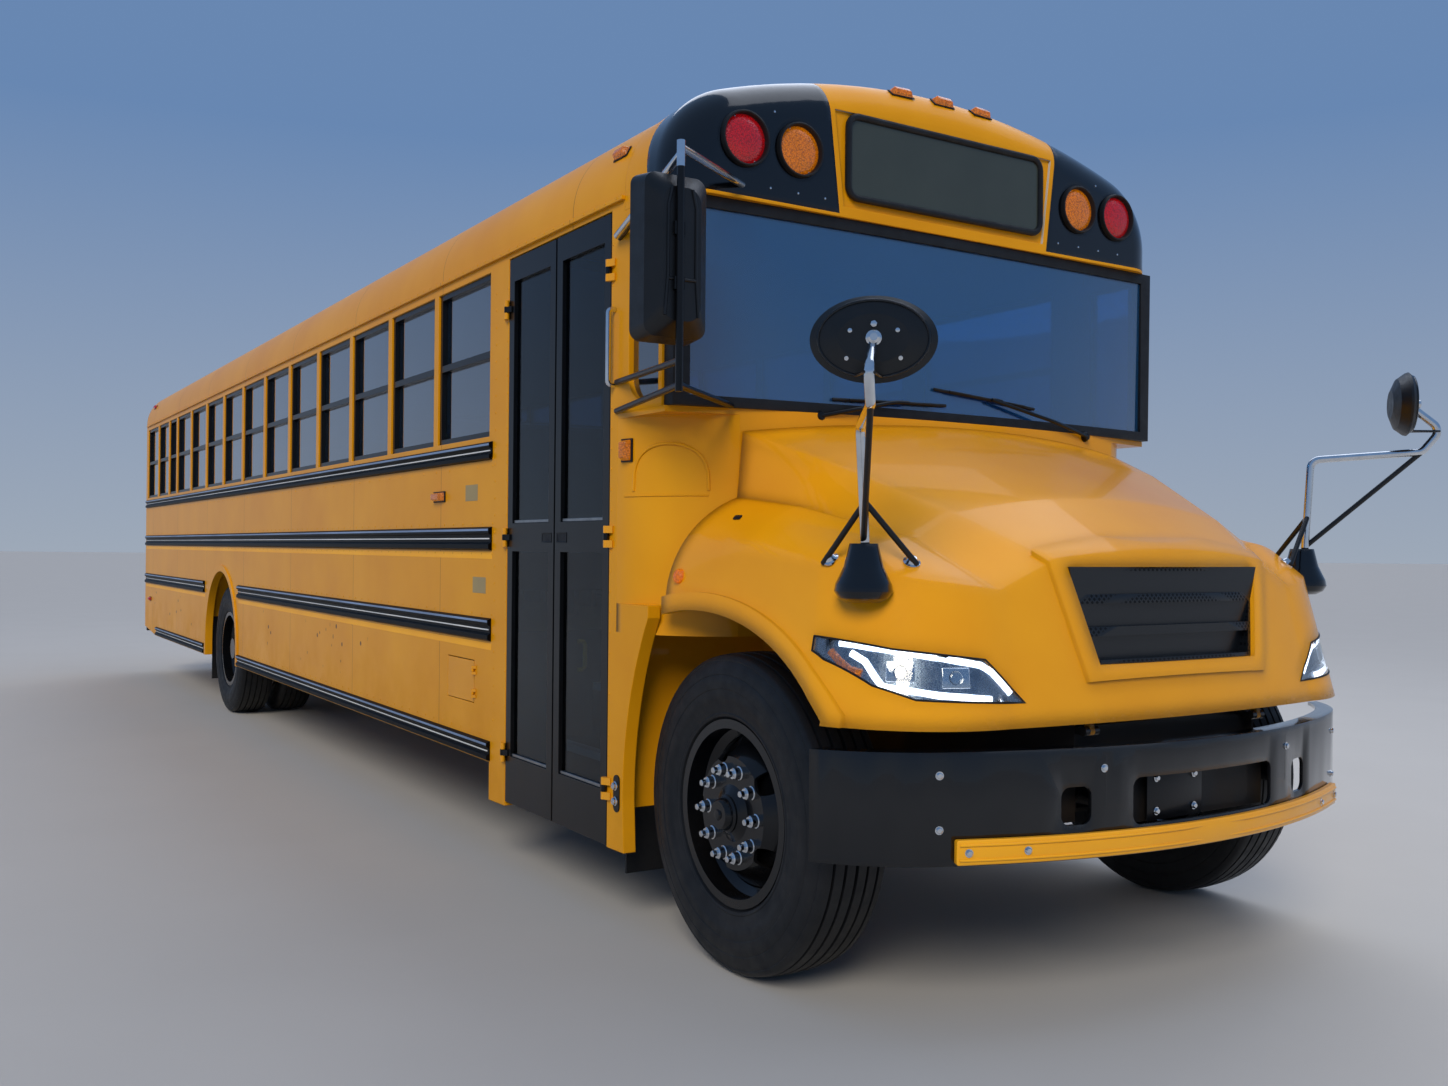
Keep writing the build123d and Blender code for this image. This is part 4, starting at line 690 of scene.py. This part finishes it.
def stuffed(name, low, high, swell, edge):
    """A foam pad in a sewn cover: a rounded box, blown up a little as cloth."""
    inset = Vector((swell, swell, swell))
    piece = block(name, Vector(low) + inset, Vector(high) - inset, edge, 3)
    applied(piece, "REMESH", mode="VOXEL", voxel_size=CELL)
    before = [v.co.copy() for v in piece.data.vertices]
    hold(piece)
    cloth = piece.modifiers.new("cover", "CLOTH")
    cloth.settings.use_pressure = True
    cloth.settings.uniform_pressure_force = 4
    cloth.settings.effector_weights.gravity = 0
    for step in range(1, 15):
        bpy.context.scene.frame_set(step)
    hold(piece)
    bpy.ops.object.modifier_apply(modifier=cloth.name)
    for vert, old in zip(piece.data.vertices, before):
        move = vert.co - old
        if move.length > swell:
            vert.co = old + move * (swell / move.length)
    bpy.context.scene.frame_set(1)
    return applied(piece, "SMOOTH", iterations=2)


# The welt is sewn along a cushion's front edge, and round the face of a back
first = st(2150)
left, right, low, high = 0.212, 1.128, 1.40, 2.018
ring = [(left + 0.3, low), (right, low), (right, high), (left, high), (left, low), (left + 0.3, low)]
cushion = joined("cushion", [
    stuffed("cushion", (0.190, first, 1.340), (1.150, first + 0.398, 1.460), 0.012, 0.03),
    tube("welt", [(0.215, first + 0.008, 1.442), (1.125, first + 0.008, 1.442)], 0.004)])
back = joined("back", [
    stuffed("back", (0.190, first + 0.402, 1.340), (1.150, first + 0.470, 2.040), 0.010, 0.022),
    tube("welt", [(x, first + 0.412, z) for x, z in ring], 0.004, 2, 0.05)])
rows = mirrored([at(0, SEAT_PITCH * i, 0) for i in range(12)])
cushions, backs = copies("seat_cushion_pads", cushion, rows), copies("seat_back_pads", back, rows)
barrier = stuffed("barrier", (0.190, st(1990), 1.160), (1.150, st(2030), 1.960), 0.006, 0.014)
driver = stuffed("driver_cushion", (0.370, st(1160), 1.320), (0.870, st(1640), 1.440), 0.012, 0.03)
driver_back = stuffed("driver_back", (0.375, st(1600), 0.0), (0.865, st(1702), 0.640), 0.010, 0.03)
lean = Matrix.Identity(4)
lean[1][2] = LEAN
driver_back.data.transform(at(0, 0, 1.430) @ at(0, st(1651), 0) @ lean @ at(0, -st(1651), 0))
backs = joined("seat_back_pads", [backs, both_sides("barriers", barrier), driver_back])
cushions = joined("seat_cushion_pads", [cushions, driver])
for piece, node in ((backs, "seat_backs"), (cushions, "seat_cushions")):
    done(piece, seat_vinyl, 180)
    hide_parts(node)

# Warning lamps: a domed lens in a black ring with a short hood, two red and two amber at each end
LENS = [(0.0, 0.086), (0.006, 0.086), (0.012, 0.078), (0.018, 0.060), (0.0215, 0.036), (0.0225, 0.0)]
RING = [(0.0, 0.084), (0.0, 0.0995), (0.012, 0.0995), (0.024, 0.0965), (0.026, 0.093), (0.024, 0.0895),
        (0.010, 0.0865)]
LAMP_FRONT, LAMP_HEIGHT = st(225) + 0.008, 2.810
for shade, finish, ahead_x, behind_x in (("red", red_lens, 0.949, 0.980), ("amber", amber_lens, 0.715, 0.760)):
    spots = [aimed((s * ahead_x, LAMP_FRONT, LAMP_HEIGHT), -Y) for s in (-1, 1)]
    spots += [aimed((s * behind_x, REAR_WALL + 0.003, 2.730), Y) for s in (-1, 1)]
    glass = copies("warning_lenses_" + shade, turned("lens", LENS, 40), spots)
    done(glass, finish, 50)
    done(copies("warning_lamp_rings_" + shade, turned("ring", RING, 40, closed=True), spots), soft_rubber, 40)
    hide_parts("warning_lamps")
tails = []
for x, z, r in ((0.880, 1.560, 0.090), (0.880, 1.330, 0.090), (1.010, 1.330, 0.060)):
    dome = turned("tail", [(0.0, r), (0.010, r), (0.016, r * 0.9), (0.020, r * 0.6), (0.022, 0.0)], 36)
    tails.append(copies("tail", dome, [aimed((s * x, REAR_WALL + 0.001, z), Y) for s in (-1, 1)]))
done(joined("tail_lamp_lenses", tails), red_lens, 50)

# Screws round the warning lamps, a stud on each panel and a row of them on its foot
spots = [aimed((x, LAMP_FRONT, LAMP_HEIGHT), -Y) @ Matrix.Rotation(tau * (i + 0.5) / 6, 4, "X")
         @ at(0.0055, 0, 0.0815) for x in (-0.949, -0.715, 0.715, 0.949) for i in range(6)]
spots += mirrored([on("lamp_panels", (x, st(225), z)) for x, z in (
    (0.824, 2.928), (0.600, 2.655), (0.720, 2.655), (0.840, 2.655), (0.960, 2.655))])
screw = turned("screw", [(0.0, 0.0045), (0.0025, 0.004), (0.0035, 0.0)], 8)
done(copies("lamp_panel_screws", screw, spots), chrome, 40)

# Blank sign glass over the windshield, in a rounded black gasket
# The sign glass is an opaque slab: its colour is painted shade of the box behind and a painted reflection
glass = block("sign_glass", (-0.482, st(225.4), 2.690), (0.482, st(227), 2.967), 0.0007, 1)
done(glass, sign_shade_and_reflection, 25)
x, low, high = 0.494, 2.678, 2.979
ring = [(0, low), (x, low), (x, high), (-x, high), (-x, low), (0, low)]
done(tube("sign_gasket", [(x, st(225), z) for x, z in ring], 0.013, bend=0.045), soft_rubber, 60)


# Marker lamps: a wedge of amber lens on a flat base; red ones at the back
def marker():
    lamp = block("marker", (0.004, -0.048, -0.018), (0.026, 0.048, 0.018))
    edit(lamp)
    choose("FACE", lambda co, normal: normal.x > 0.9)
    bpy.ops.transform.resize(value=(1, 0.72, 0.62))
    bpy.ops.mesh.select_all(action="SELECT")
    bpy.ops.mesh.bevel(offset=0.004, segments=3, affect="EDGES")
    leave()
    return lamp


cap_lamps = [on("front_cap", (x, st(280), 3.116)) for x in (-0.205, 0.0, 0.205)]
wide = Matrix.Diagonal((1.2, 1.5, 1.2, 1))
upright = Matrix.Rotation(radians(90), 4, "X") @ Matrix.Diagonal((1.2, 0.8, 1.5, 1))
side_lamps = mirrored([on("roof", (-1.175, st(700), 2.835)),
                       on("side_wall_right", (-1.230, st(2485), 1.620)) @ wide,
                       on("cowl", (-1.230, st(570), 1.732)) @ upright])
rear_lamps = mirrored([on("roof", (-1.175, st(11300), 2.835)),
                       on("side_wall_right", (-1.230, st(11250), 0.800))])
rear_lamps += [aimed((x, REAR_WALL, 3.020), Y) for x in (-0.205, 0.0, 0.205)]
base = block("base", (0.0, -0.053, -0.022), (0.005, 0.053, 0.022), 0.002)
done(copies("marker_lamp_bases", base, cap_lamps + side_lamps + rear_lamps), soft_rubber)
done(copies("amber_marker_lenses", marker(), cap_lamps + side_lamps), amber_lens, 30)
done(copies("red_marker_lenses", marker(), rear_lamps), red_lens, 30)
button = turned("button", [(0.0, 0.026), (0.010, 0.024), (0.018, 0.015), (0.021, 0.0)], 28)
turn_lamps = copies("fender_turn_lamps", button, mirrored([on("hood_shell", (-1.200, st(261), 1.293))]))
done(turn_lamps, amber_lens, 40, "hood")

# Headlamps: a clear cover over a dark bucket, two projectors, an amber reflector and lit guides
cover = copied(frame["nodes"]["headlamps"])
cover.parent, cover.name = None, "headlamp_covers"
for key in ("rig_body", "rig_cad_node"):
    if key in cover:
        del cover[key]
edit(cover)
bpy.ops.mesh.remove_doubles(threshold=1e-5)
choose("FACE", lambda co, normal: normal.y > -0.08)
bpy.ops.mesh.delete(type="FACE")
leave()
bucket, edge = copied(cover), copied(cover)
bucket.name, edge.name = "headlamp_buckets", "headlamp_edges"
edit(bucket)
bpy.ops.transform.shrink_fatten(value=-0.0092)
edit(edge)
bpy.ops.mesh.select_mode(type="FACE")
bpy.ops.mesh.region_to_loop()
bpy.ops.mesh.select_all(action="INVERT")
bpy.ops.mesh.delete(type="EDGE")
hold(edge)
bpy.ops.object.convert(target="CURVE")
edge.data.bevel_depth, edge.data.bevel_resolution = 0.0032, 2
bpy.ops.object.convert(target="MESH")
# A sheet's thickness goes inwards
done(applied(cover, "SOLIDIFY", thickness=0.002, offset=-1), clear_lens, 30, "hood")
done(applied(bucket, "SOLIDIFY", thickness=0.001, offset=-1), bucket_grey, 30, "hood")
done(edge, soft_rubber, 60, "hood")
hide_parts("headlamps")


def behind_cover(x, station, z, depth):
    return seat("headlamps", (x, st(station), z), -depth)[0]


GUIDES = [
    [(-1.100, -526, 1.111), (-1.050, -610, 1.101), (-0.998, -683, 1.091), (-0.930, -735, 1.079),
     (-0.858, -780, 1.067), (-0.794, -802, 1.055), (-0.760, -812, 1.034), (-0.728, -822, 1.000),
     (-0.704, -830, 0.972)],
    [(-1.088, -566, 1.084), (-1.070, -610, 1.062), (-1.062, -645, 1.020), (-1.050, -665, 0.994),
     (-1.000, -715, 0.985), (-0.927, -773, 0.972), (-0.850, -805, 0.965), (-0.774, -828, 0.958)],
]
bars = [tube("guide", [behind_cover(*p, 0.0128) for p in line], 0.0118) for line in GUIDES]
done(both_sides("headlamp_light_guides", *bars), light_guide, 60, "hood")
eyes, rims = [], []
for x, station, z in ((-1.005, -692, 1.036), (-0.875, -785, 1.020)):
    spot, facing = seat("headlamps", (x, st(station), z), -0.0115)
    rim = block("rim", (0.0, -0.041, -0.030), (0.006, 0.041, 0.030), 0.0028, 3)
    rims.append(copies("rim", rim, [aimed(spot, facing)]))
    dome = turned("eye", [(0.0, 0.023), (0.003, 0.021), (0.006, 0.013), (0.0065, 0.0)], 32)
    eyes.append(copies("eye", dome, [aimed(spot + facing * 0.003, facing)]))
done(both_sides("headlamp_projector_frames", *rims), chrome, 30, "hood")
done(both_sides("headlamp_projectors", *eyes), clear_lens, 40, "hood")
line = [(-1.112, -500, 1.085), (-1.106, -535, 1.058), (-1.096, -572, 1.036), (-1.086, -602, 1.010)]
bar = tube("reflector", [behind_cover(*p, 0.0165) for p in line], 0.0145)
done(both_sides("headlamp_amber_reflectors", bar), amber_lens, 50, "hood")

# Front bumper: bolts, a ribbed yellow strip and a blank black plate on four bolts
BOLT = [(0.0, 0.0125), (0.002, 0.0125), (0.002, 0.009), (0.007, 0.009), (0.009, 0.0065), (0.009, 0.0)]


def front_of(node, x, z):
    return seen(node, (x, -7.0, z), Y)


places = ((0.935, 0.747), (0.935, 0.593), (0.436, 0.750))
places = mirrored([aimed(*front_of("front_bumper", x, z)) for x, z in places])
places += mirrored([aimed(*front_of("bumper_strip", x, 0.532)) for x in (0.870, 0.700)])
places += [aimed((x, st(-934), z), -Y) for x in (-0.200, -0.025) for z in (0.600, 0.700)]
done(copies("bumper_bolts", turned("bolt", BOLT, 12), places), chrome, 25)
ribs = []
for z in (0.511, 0.553):
    line = [front_of("bumper_strip", -0.895 + 1.790 * i / 24, z)[0] for i in range(25)]
    # The strip's middle is the front of the whole bus, so the ribs sink into it there
    ribs.append(tube("rib", [(p.x, max(p.y, cad_box[0][1] + 0.0048), p.z) for p in line], 0.0045, 2))
done(joined("bumper_strip_ribs", ribs), strip_yellow, 60)
done(block("blank_plate", (-0.240, st(-933), 0.572), (0.015, st(-929), 0.728), 0.0015), black_satin)


def sunk(piece, face, border, depth):
    """Sets one face of a piece back, inside a border."""
    edit(piece)
    choose("FACE", lambda co, normal: normal.dot(Vector(face)) > 0.9)
    bpy.ops.mesh.inset(thickness=border)
    bpy.ops.transform.translate(value=-Vector(face) * depth)
    leave()
    return piece


# Black backings in pockets behind the bumper's openings: a dark sheet as painted shade of the bumper's inside
shade_backings = []
for middle, half, low, high in ((0.0, 0.345, 0.568, 0.722), (0.529, 0.062, 0.582, 0.708),
                                (-0.529, 0.062, 0.582, 0.708)):
    y = max(front_of("front_bumper", middle + s * (half + 0.02), 0.645)[0].y for s in (-1, 1)) + 0.040
    pocket = block("pocket", (middle - half, y, low), (middle + half, y + 0.004, high), 0.001, 1)
    shade_backings.append(sunk(pocket, -Y, 0.012, 0.002))
done(joined("bumper_pockets", shade_backings), chassis_black, 30)

# Wipers: a pivot, a bent arm and a rubber blade that follows the glass
PIVOT = [(0.0, 0.024), (0.020, 0.022), (0.034, 0.014), (0.036, 0.0)]
arms, blades = [], []
for pivot, ends, z in (((-0.632, st(204), 1.862), (-0.581, -0.055), (1.925, 1.935)),
                       ((0.743, st(204), 1.862), (-0.110, 0.430), (1.995, 1.955))):
    line = [front_of("windshield", ends[0] + (ends[1] - ends[0]) * i / 8, z[0] + (z[1] - z[0]) * i / 8)[0]
            for i in range(9)]
    blades.append(tube("blade", [p - Y * 0.007 for p in line], 0.0062, 2))
    blades.append(tube("spine", [p - Y * 0.019 for p in line[1:-1]], 0.0045, 2))
    pivot, middle = Vector(pivot), line[4] - Y * 0.026
    knee = pivot * 0.62 + middle * 0.38 - Y * 0.034
    arms.append(tube("arm", [pivot - Y * 0.014, knee, middle, line[5] - Y * 0.026], 0.0075, 2, 0.03))
    arms.append(copies("pivot", turned("pivot", PIVOT, 20), [aimed(pivot + Y * 0.016, -Y)]))
done(joined("wiper_arms", arms), black_satin, 50)
done(joined("wiper_blades", blades), soft_rubber, 60)

# Rub rails: a white ridge along the middle of each, a painted highlight; a pale blue-grey upper edge, a painted sky
# reflection; and reflective sheet below two
RAIL_START, RAIL_END, ARCH_BEFORE, ARCH_BEHIND = 1821, 11550, 6960, 8300
ridges, sky_reflection_strips, sheets = [], [], []
for z, depth, start, end in ((1.807, 0.084, RAIL_START, RAIL_END), (1.417, 0.108, RAIL_START, RAIL_END),
                             (1.014, 0.104, RAIL_START, ARCH_BEFORE), (1.014, 0.104, ARCH_BEHIND, RAIL_END),
                             (0.479, 0.090, RAIL_START, ARCH_BEFORE), (0.479, 0.090, ARCH_BEHIND, RAIL_END - 700)):
    x, edge, foot = SIDE + 0.006, z + depth / 2 - 0.010, z - 0.060
    # A white ridge along the middle of each rail: a painted highlight
    ridges.append(block("ridge", (x - 0.001, st(start + 15), z - 0.003), (x + 0.004, st(end - 10), z + 0.003),
                        0.0015))
    # A thin strip on each rail's upper edge, its pale blue-grey a painted sky reflection
    face = seen("rub_rails", (2.0, st(start + 60), edge - 0.006), -X)[0].x
    sky_reflection_strips.append(block("lip", (face - 0.001, st(start + 6), edge - 0.010), (face + 0.0012, st(end - 6), edge),
                      0.0008, 1))
    if 0.9 < z < 1.5:
        sheets.append(block("sheet", (SIDE - 0.0005, st(start), foot - 0.030), (SIDE + 0.001, st(end), foot),
                            0.0004, 1))
done(both_sides("rail_ridges", *ridges), white_nosing_and_rail_highlight, 30)
done(both_sides("rail_upper_edges", *sky_reflection_strips), rail_sky_reflection, 30)
done(both_sides("reflective_sheets", *sheets), bright_strip, 30)

# Bright sills along the foot of each side window
WINDOWS = [(1865 + 720 * i, 2525 + 720 * i) for i in range(11)] + [(9785, 10175), (10235, 10805), (10865, 11495)]
sills = [block("sill", (SIDE - 0.0155, st(start + 4), 1.862), (SIDE - 0.002, st(end - 4), 1.8725), 0.002)
         for start, end in WINDOWS]
done(both_sides("window_sills", *sills), aluminium, 30)

# Rivets: rows along the eaves, over the rails and up the door posts
RIVET = [(0.0, 0.0055), (0.0018, 0.0042), (0.0026, 0.0)]
rows = []
for z, start, end, pitch in ((2.652, 640, 11560, 0.090), (1.770, RAIL_START, RAIL_END, 0.090),
                             (1.740, RAIL_START, RAIL_END, 0.180), (1.484, RAIL_START, RAIL_END, 0.120),
                             (1.350, RAIL_START, RAIL_END, 0.120), (1.080, RAIL_START, ARCH_BEFORE, 0.120),
                             (0.545, RAIL_START, ARCH_BEFORE, 0.120)):
    x = seen("roof" if z > 2.64 else "side_wall_left", (2.0, st(start + 40), z), -X)[0].x
    rows.append(((x, st(start), z), int((end - start) / 1000 / pitch), (0, pitch, 0)))
rows += [((SIDE, st(station), 0.62), 26, (0, 0, 0.075)) for station in (688, 1668, 1795)]
rivets = [applied(copies("rivet", turned("rivet", RIVET, 6), [aimed(spot, X)]), "ARRAY", count=count,
                  use_relative_offset=False, use_constant_offset=True, constant_offset_displace=offset)
          for spot, count, offset in rows]
done(both_sides("body_rivets", *rivets), yellow, 40)

# Ribs pressed in the roof's shoulder behind the door
ribs = [tube("rib", [seat("roof", (-0.930 + 0.055 * i, st(s), 3.060 + 0.02 * i), 0.001)[0]
                     for s in (1300 + 90 * i, 1900 + 60 * i)], 0.007, 2) for i in range(3)]
done(both_sides("roof_ribs", *ribs), yellow, 60)


# Cowl: the seam round its corner, and the arch pressed over it
def round_cowl(turn, z):
    """A place on the cowl's round corner, seen from outside at so many degrees from its side."""
    away = Vector((-cos(radians(turn)), -sin(radians(turn)), 0))
    return seen("cowl", Vector((-0.850, st(600), z)) + away * 1.2, -away, 0.001)[0]


seam = tube("cowl_seam", [round_cowl(turn, 1.567) for turn in range(2, 62, 4)], 0.0032, 2)
turns = [radians(180 * i / 16) for i in range(17)]
arch = [round_cowl(34 - 24 * cos(t), 1.585 + 0.165 * sin(t) ** 0.6) for t in turns]
arch = tube("cowl_arch", arch, 0.006)
done(both_sides("cowl_seams", seam, arch), yellow, 60)

# Doors: bright sills under the panes, slots in the middle rails, a latch plate and a yellow grab handle
for name, y, middle in (("front", st(757), st(1106)), ("rear", st(1235), st(1248))):
    sills = [block("sill", (-1.2125, y, z), (-1.203, y + 0.362, z + 0.012), 0.001, 1) for z in (0.489, 1.483)]
    done(joined("door_sills_" + name, sills), aluminium, body="door_" + name)
    cup = block("cup", (-1.2215, middle - 0.045, 1.400), (-1.218, middle + 0.045, 1.440), 0.0015)
    done(sunk(cup, -X, 0.005, 0.0022), soft_rubber, 30, "door_" + name)
line = [(x, st(1023), z) for x, z in ((-1.180, 0.905), (-1.150, 0.905), (-1.150, 1.015), (-1.180, 1.015))]
done(tube("door_grab", line, 0.009, bend=0.018), bright_strip, 60, "door_front")
oval = block("latch_plate", (-1.2235, st(598), 0.425), (-1.219, st(642), 0.559))
edit(oval)
choose("EDGE", lambda co, along: abs(along.normalized().x) > 0.9)
bpy.ops.mesh.bevel(offset=0.021, segments=8, affect="EDGES")
done(oval, black_satin, 30)
knob = turned("knob", [(0.0, 0.017), (0.006, 0.017), (0.009, 0.013), (0.014, 0.013), (0.017, 0.009),
                       (0.017, 0.0)], 24)
knobs = copies("door_latch_knobs", knob, [aimed((-1.2225, st(620), z), -X) for z in (0.465, 0.520)])
done(knobs, chrome, 30)
tags = [block("tag", (-1.2200, st(start), low), (-1.2186, st(end), high), 0.0006, 1)
        for start, end, low, high in ((1995, 2145, 1.590, 1.664), (1890, 2045, 1.172, 1.244))]
done(joined("worn_sticker_patches", tags), residue)

# Steps: a white nosing along the edge of each tread
INNER, TREAD, RISE = 1.169, 0.203, 0.7100 / 3
nosings = []
for i in (1, 2, 3):
    x, z = TREAD * i - INNER - 0.020, 0.300 + RISE * i
    for below, behind in ((0.030, 0.0), (0.0, 0.045)):
        low, high = (x - 0.003, st(684), z - below), (x + behind, st(1681), z + 0.003)
        nosings.append(block("nosing", low, high, 0.001, 1))
done(joined("step_nosings", nosings), white_nosing_and_rail_highlight, 30)

# Rear door: a chrome lever on its plate
lever = joined("rear_lever", [
    block("plate", (-0.385, REAR_WALL + 0.0005, 1.060), (-0.335, REAR_WALL + 0.006, 1.200), 0.002),
    tube("lever", [(-0.360, REAR_WALL + 0.004, 1.130), (-0.360, REAR_WALL + 0.020, 1.130),
                   (-0.240, REAR_WALL + 0.020, 1.130)], 0.008, bend=0.012)])
done(lever, chrome, 40, "rear_door")

# Hood: a small rubber stop on each side, chrome sleeves on the mirrors' tubes and feet under their legs
stop = block("hood_stop", (0.0, -0.016, -0.010), (0.007, 0.016, 0.010), 0.003, 3)
stops = copies("hood_stops", stop, mirrored([on("hood_shell", (-1.040, st(108), 1.485))]))
done(stops, soft_rubber, 30, "hood")
post = [(1.058, st(-595), 1.404), (1.085, st(-600), 1.737), (1.294, st(-906), 1.759), (1.338, st(-952), 1.840),
        (1.264, st(-878), 1.928)]
sleeve = tube("post_sleeve", bent(post, 0.036), 0.0142, 4)
done(both_sides("convex_mirror_post_sleeves", sleeve), chrome, 60, "hood")
pole, y = -1.393, st(-94)
GRIP = ((0.001, 1.976), (0.028, 1.976), (0.028, 2.252), (0.001, 2.252))
grip = [(-SIDE - out, st(668), z) for out, z in GRIP]
sleeves = [tube("upper", [(-SIDE - 0.02, st(622), 2.511), (pole, y, 2.600)], 0.0122, 4),
           tube("brace", [(-0.955, st(232), 2.650), (pole, y, 2.620)], 0.0122, 4),
           tube("top", [(pole, y, 2.560), (pole, y, 2.6408)], 0.0132, 4), tube("handle", grip, 0.0100, 4, 0.014)]
done(joined("wing_mirror_chrome_tubes", sleeves), chrome, 60)

# Crossview mirrors: a collar and a nut where the post meets the back, four screws and a rolled rim
dish, across, inward = Vector((1.258, st(-872), 1.935)), Vector((0.783, 0.622, 0)), Vector((-0.622, 0.783, 0))


def dish_back(u, v, lift=0.0):
    """A place on the back of the left crossview mirror, so far across and up from its middle."""
    return seen("crossview_mirrors", dish + across * u + Z * v - inward * 0.2, inward, lift)


collar = turned("collar", [(0.0, 0.021), (0.006, 0.021), (0.009, 0.017), (0.020, 0.016), (0.024, 0.010),
                           (0.024, 0.0)], 28)
nut = turned("nut", [(0.0, 0.010), (0.010, 0.009), (0.012, 0.0)], 6)
screw = turned("screw", [(0.0, 0.007), (0.003, 0.006), (0.0045, 0.0)], 10)
spots = [aimed(*dish_back(s * u, v)) for u, v in ((0.062, 0.020), (0.070, -0.052)) for s in (-1, 1)]
parts = [copies("collar", collar, [aimed(dish - inward * 0.020, -inward)]), copies("screws", screw, spots),
         copies("nut", nut, [aimed(*dish_back(0.0, 0.036))])]
done(both_sides("crossview_mirror_screws", *parts), chrome, 30, "hood")
turns = [tau * i / 40 for i in range(41)]
rim = tube("dish_rim", [dish_back(0.146 * cos(t), 0.101 * sin(t), 0.001)[0] for t in turns], 0.0042, 2)
done(both_sides("crossview_mirror_rims", rim), black_gloss, 60, "hood")

# Wing mirror: the back's sunk channel between two ridges, closed by a step
MIDDLE, BACK = -1.3785, st(-82)
RIDGE = ((0.036, 2.498), (0.050, 2.440), (0.050, 2.230), (0.060, 2.100))
ridges = [tube("ridge", [(MIDDLE + s * out, BACK, z) for out, z in RIDGE], 0.0055) for s in (-1, 1)]
ridges.append(tube("step", [(MIDDLE - 0.050, BACK, 2.214), (MIDDLE + 0.050, BACK, 2.214)], 0.0055))
done(joined("wing_mirror_back_ridges", ridges), black_plastic, 60)
foot = turned("foot", [(0.0, 0.026), (0.005, 0.026), (0.008, 0.020), (0.020, 0.013), (0.024, 0.0)], 24)
feet = [on("hood_shell", spot) for spot in ((-1.075, st(-446), 1.360), (-0.912, st(-637), 1.368))]
done(copies("mirror_leg_feet", foot, mirrored(feet)), chrome, 30, "hood")

# Camera, as the photograph was taken
FOCAL, WIDTH = 1282.1, 1448
yaw, pitch, roll = (radians(a) for a in (32.449, 0.262, 0.507))
ahead = Vector((sin(yaw) * cos(pitch), cos(yaw) * cos(pitch), sin(pitch)))
right = Vector((cos(yaw), -sin(yaw), 0))
up = right.cross(ahead)
right, up = right * cos(roll) + up * sin(roll), up * cos(roll) - right * sin(roll)
eye = bpy.data.cameras.new("photo_eye")
eye.sensor_width, eye.lens, eye.clip_end = 36, 36 * FOCAL / WIDTH, 200
camera = brought("photo_eye", eye)
camera.matrix_world = at(-3.3919, -8.8745, 1.3810) @ Matrix((right, up, -ahead)).transposed().to_4x4()
bpy.context.scene.camera = camera

# A pale floor and soft studio light
leave()
bpy.ops.mesh.primitive_plane_add(size=600, location=(0, 0, 0))
floor = bpy.context.object
floor.name = "studio_floor"
made, tree, place = started("pale_studio_floor", Roughness=0.7)
grey = add(tree, "TexNoise", {"Vector": place, "Scale": 1 / 0.8, "Detail": 4.0, "Roughness": 0.55})
ended(tree, {"Base Color": add(tree, "Mix", {0: grey, 6: "#b7b7b6", 7: "#b1b1b0"}, **RGBA)})
floor.data.materials.append(made)

world = bpy.data.worlds.new("studio_air")
bpy.context.scene.world = world
world.use_nodes = True
tree = world.node_tree
height = add(tree, "SeparateXYZ", (add(tree, "TexCoord", out="Generated"),), "Z")
horizon, zenith = add(tree, "MapRange", (height, -0.02, 0.30)), add(tree, "MapRange", (height, 0.3, 0.9))
sky = add(tree, "Mix", {0: horizon, 6: "#c6d3e4", 7: "#82a8dc"}, **RGBA)
sky = add(tree, "Mix", {0: zenith, 6: sky, 7: "#86a8d6"}, **RGBA)
tree.links.new(sky, tree.nodes["Background"].inputs["Color"])
tree.nodes["Background"].inputs["Strength"].default_value = 0.62
bpy.context.scene.view_settings.view_transform = "Standard"


def soft_light(name, place, power, tint, spread):
    """A broad, distant studio light, so soft that its shadows have no edge; it shows in no reflection."""
    lamp = bpy.data.lights.new(name, "SUN")
    lamp.energy, lamp.color, lamp.angle = power, colour(tint)[:3], radians(spread)
    made = brought(name, lamp)
    made.rotation_euler = (-Vector(place)).to_track_quat("-Z", "Y").to_euler()
    made.visible_glossy = False


soft_light("key_softbox", (-13, -13, 13), 2.3, "#fff1dc", 28)
soft_light("fill_softbox", (12, 13, 12), 1.1, "#fff6ea", 50)

top = bpy.data.lights.new("overhead_softbox", "AREA")
top.shape, top.size, top.size_y, top.energy = "RECTANGLE", 7, 16, 420
top.color = colour("#f4f7ff")[:3]
over = brought("overhead_softbox", top)
over.location = (4.0, -1.0, 10.0)
over.rotation_euler = (0, radians(22), 0)
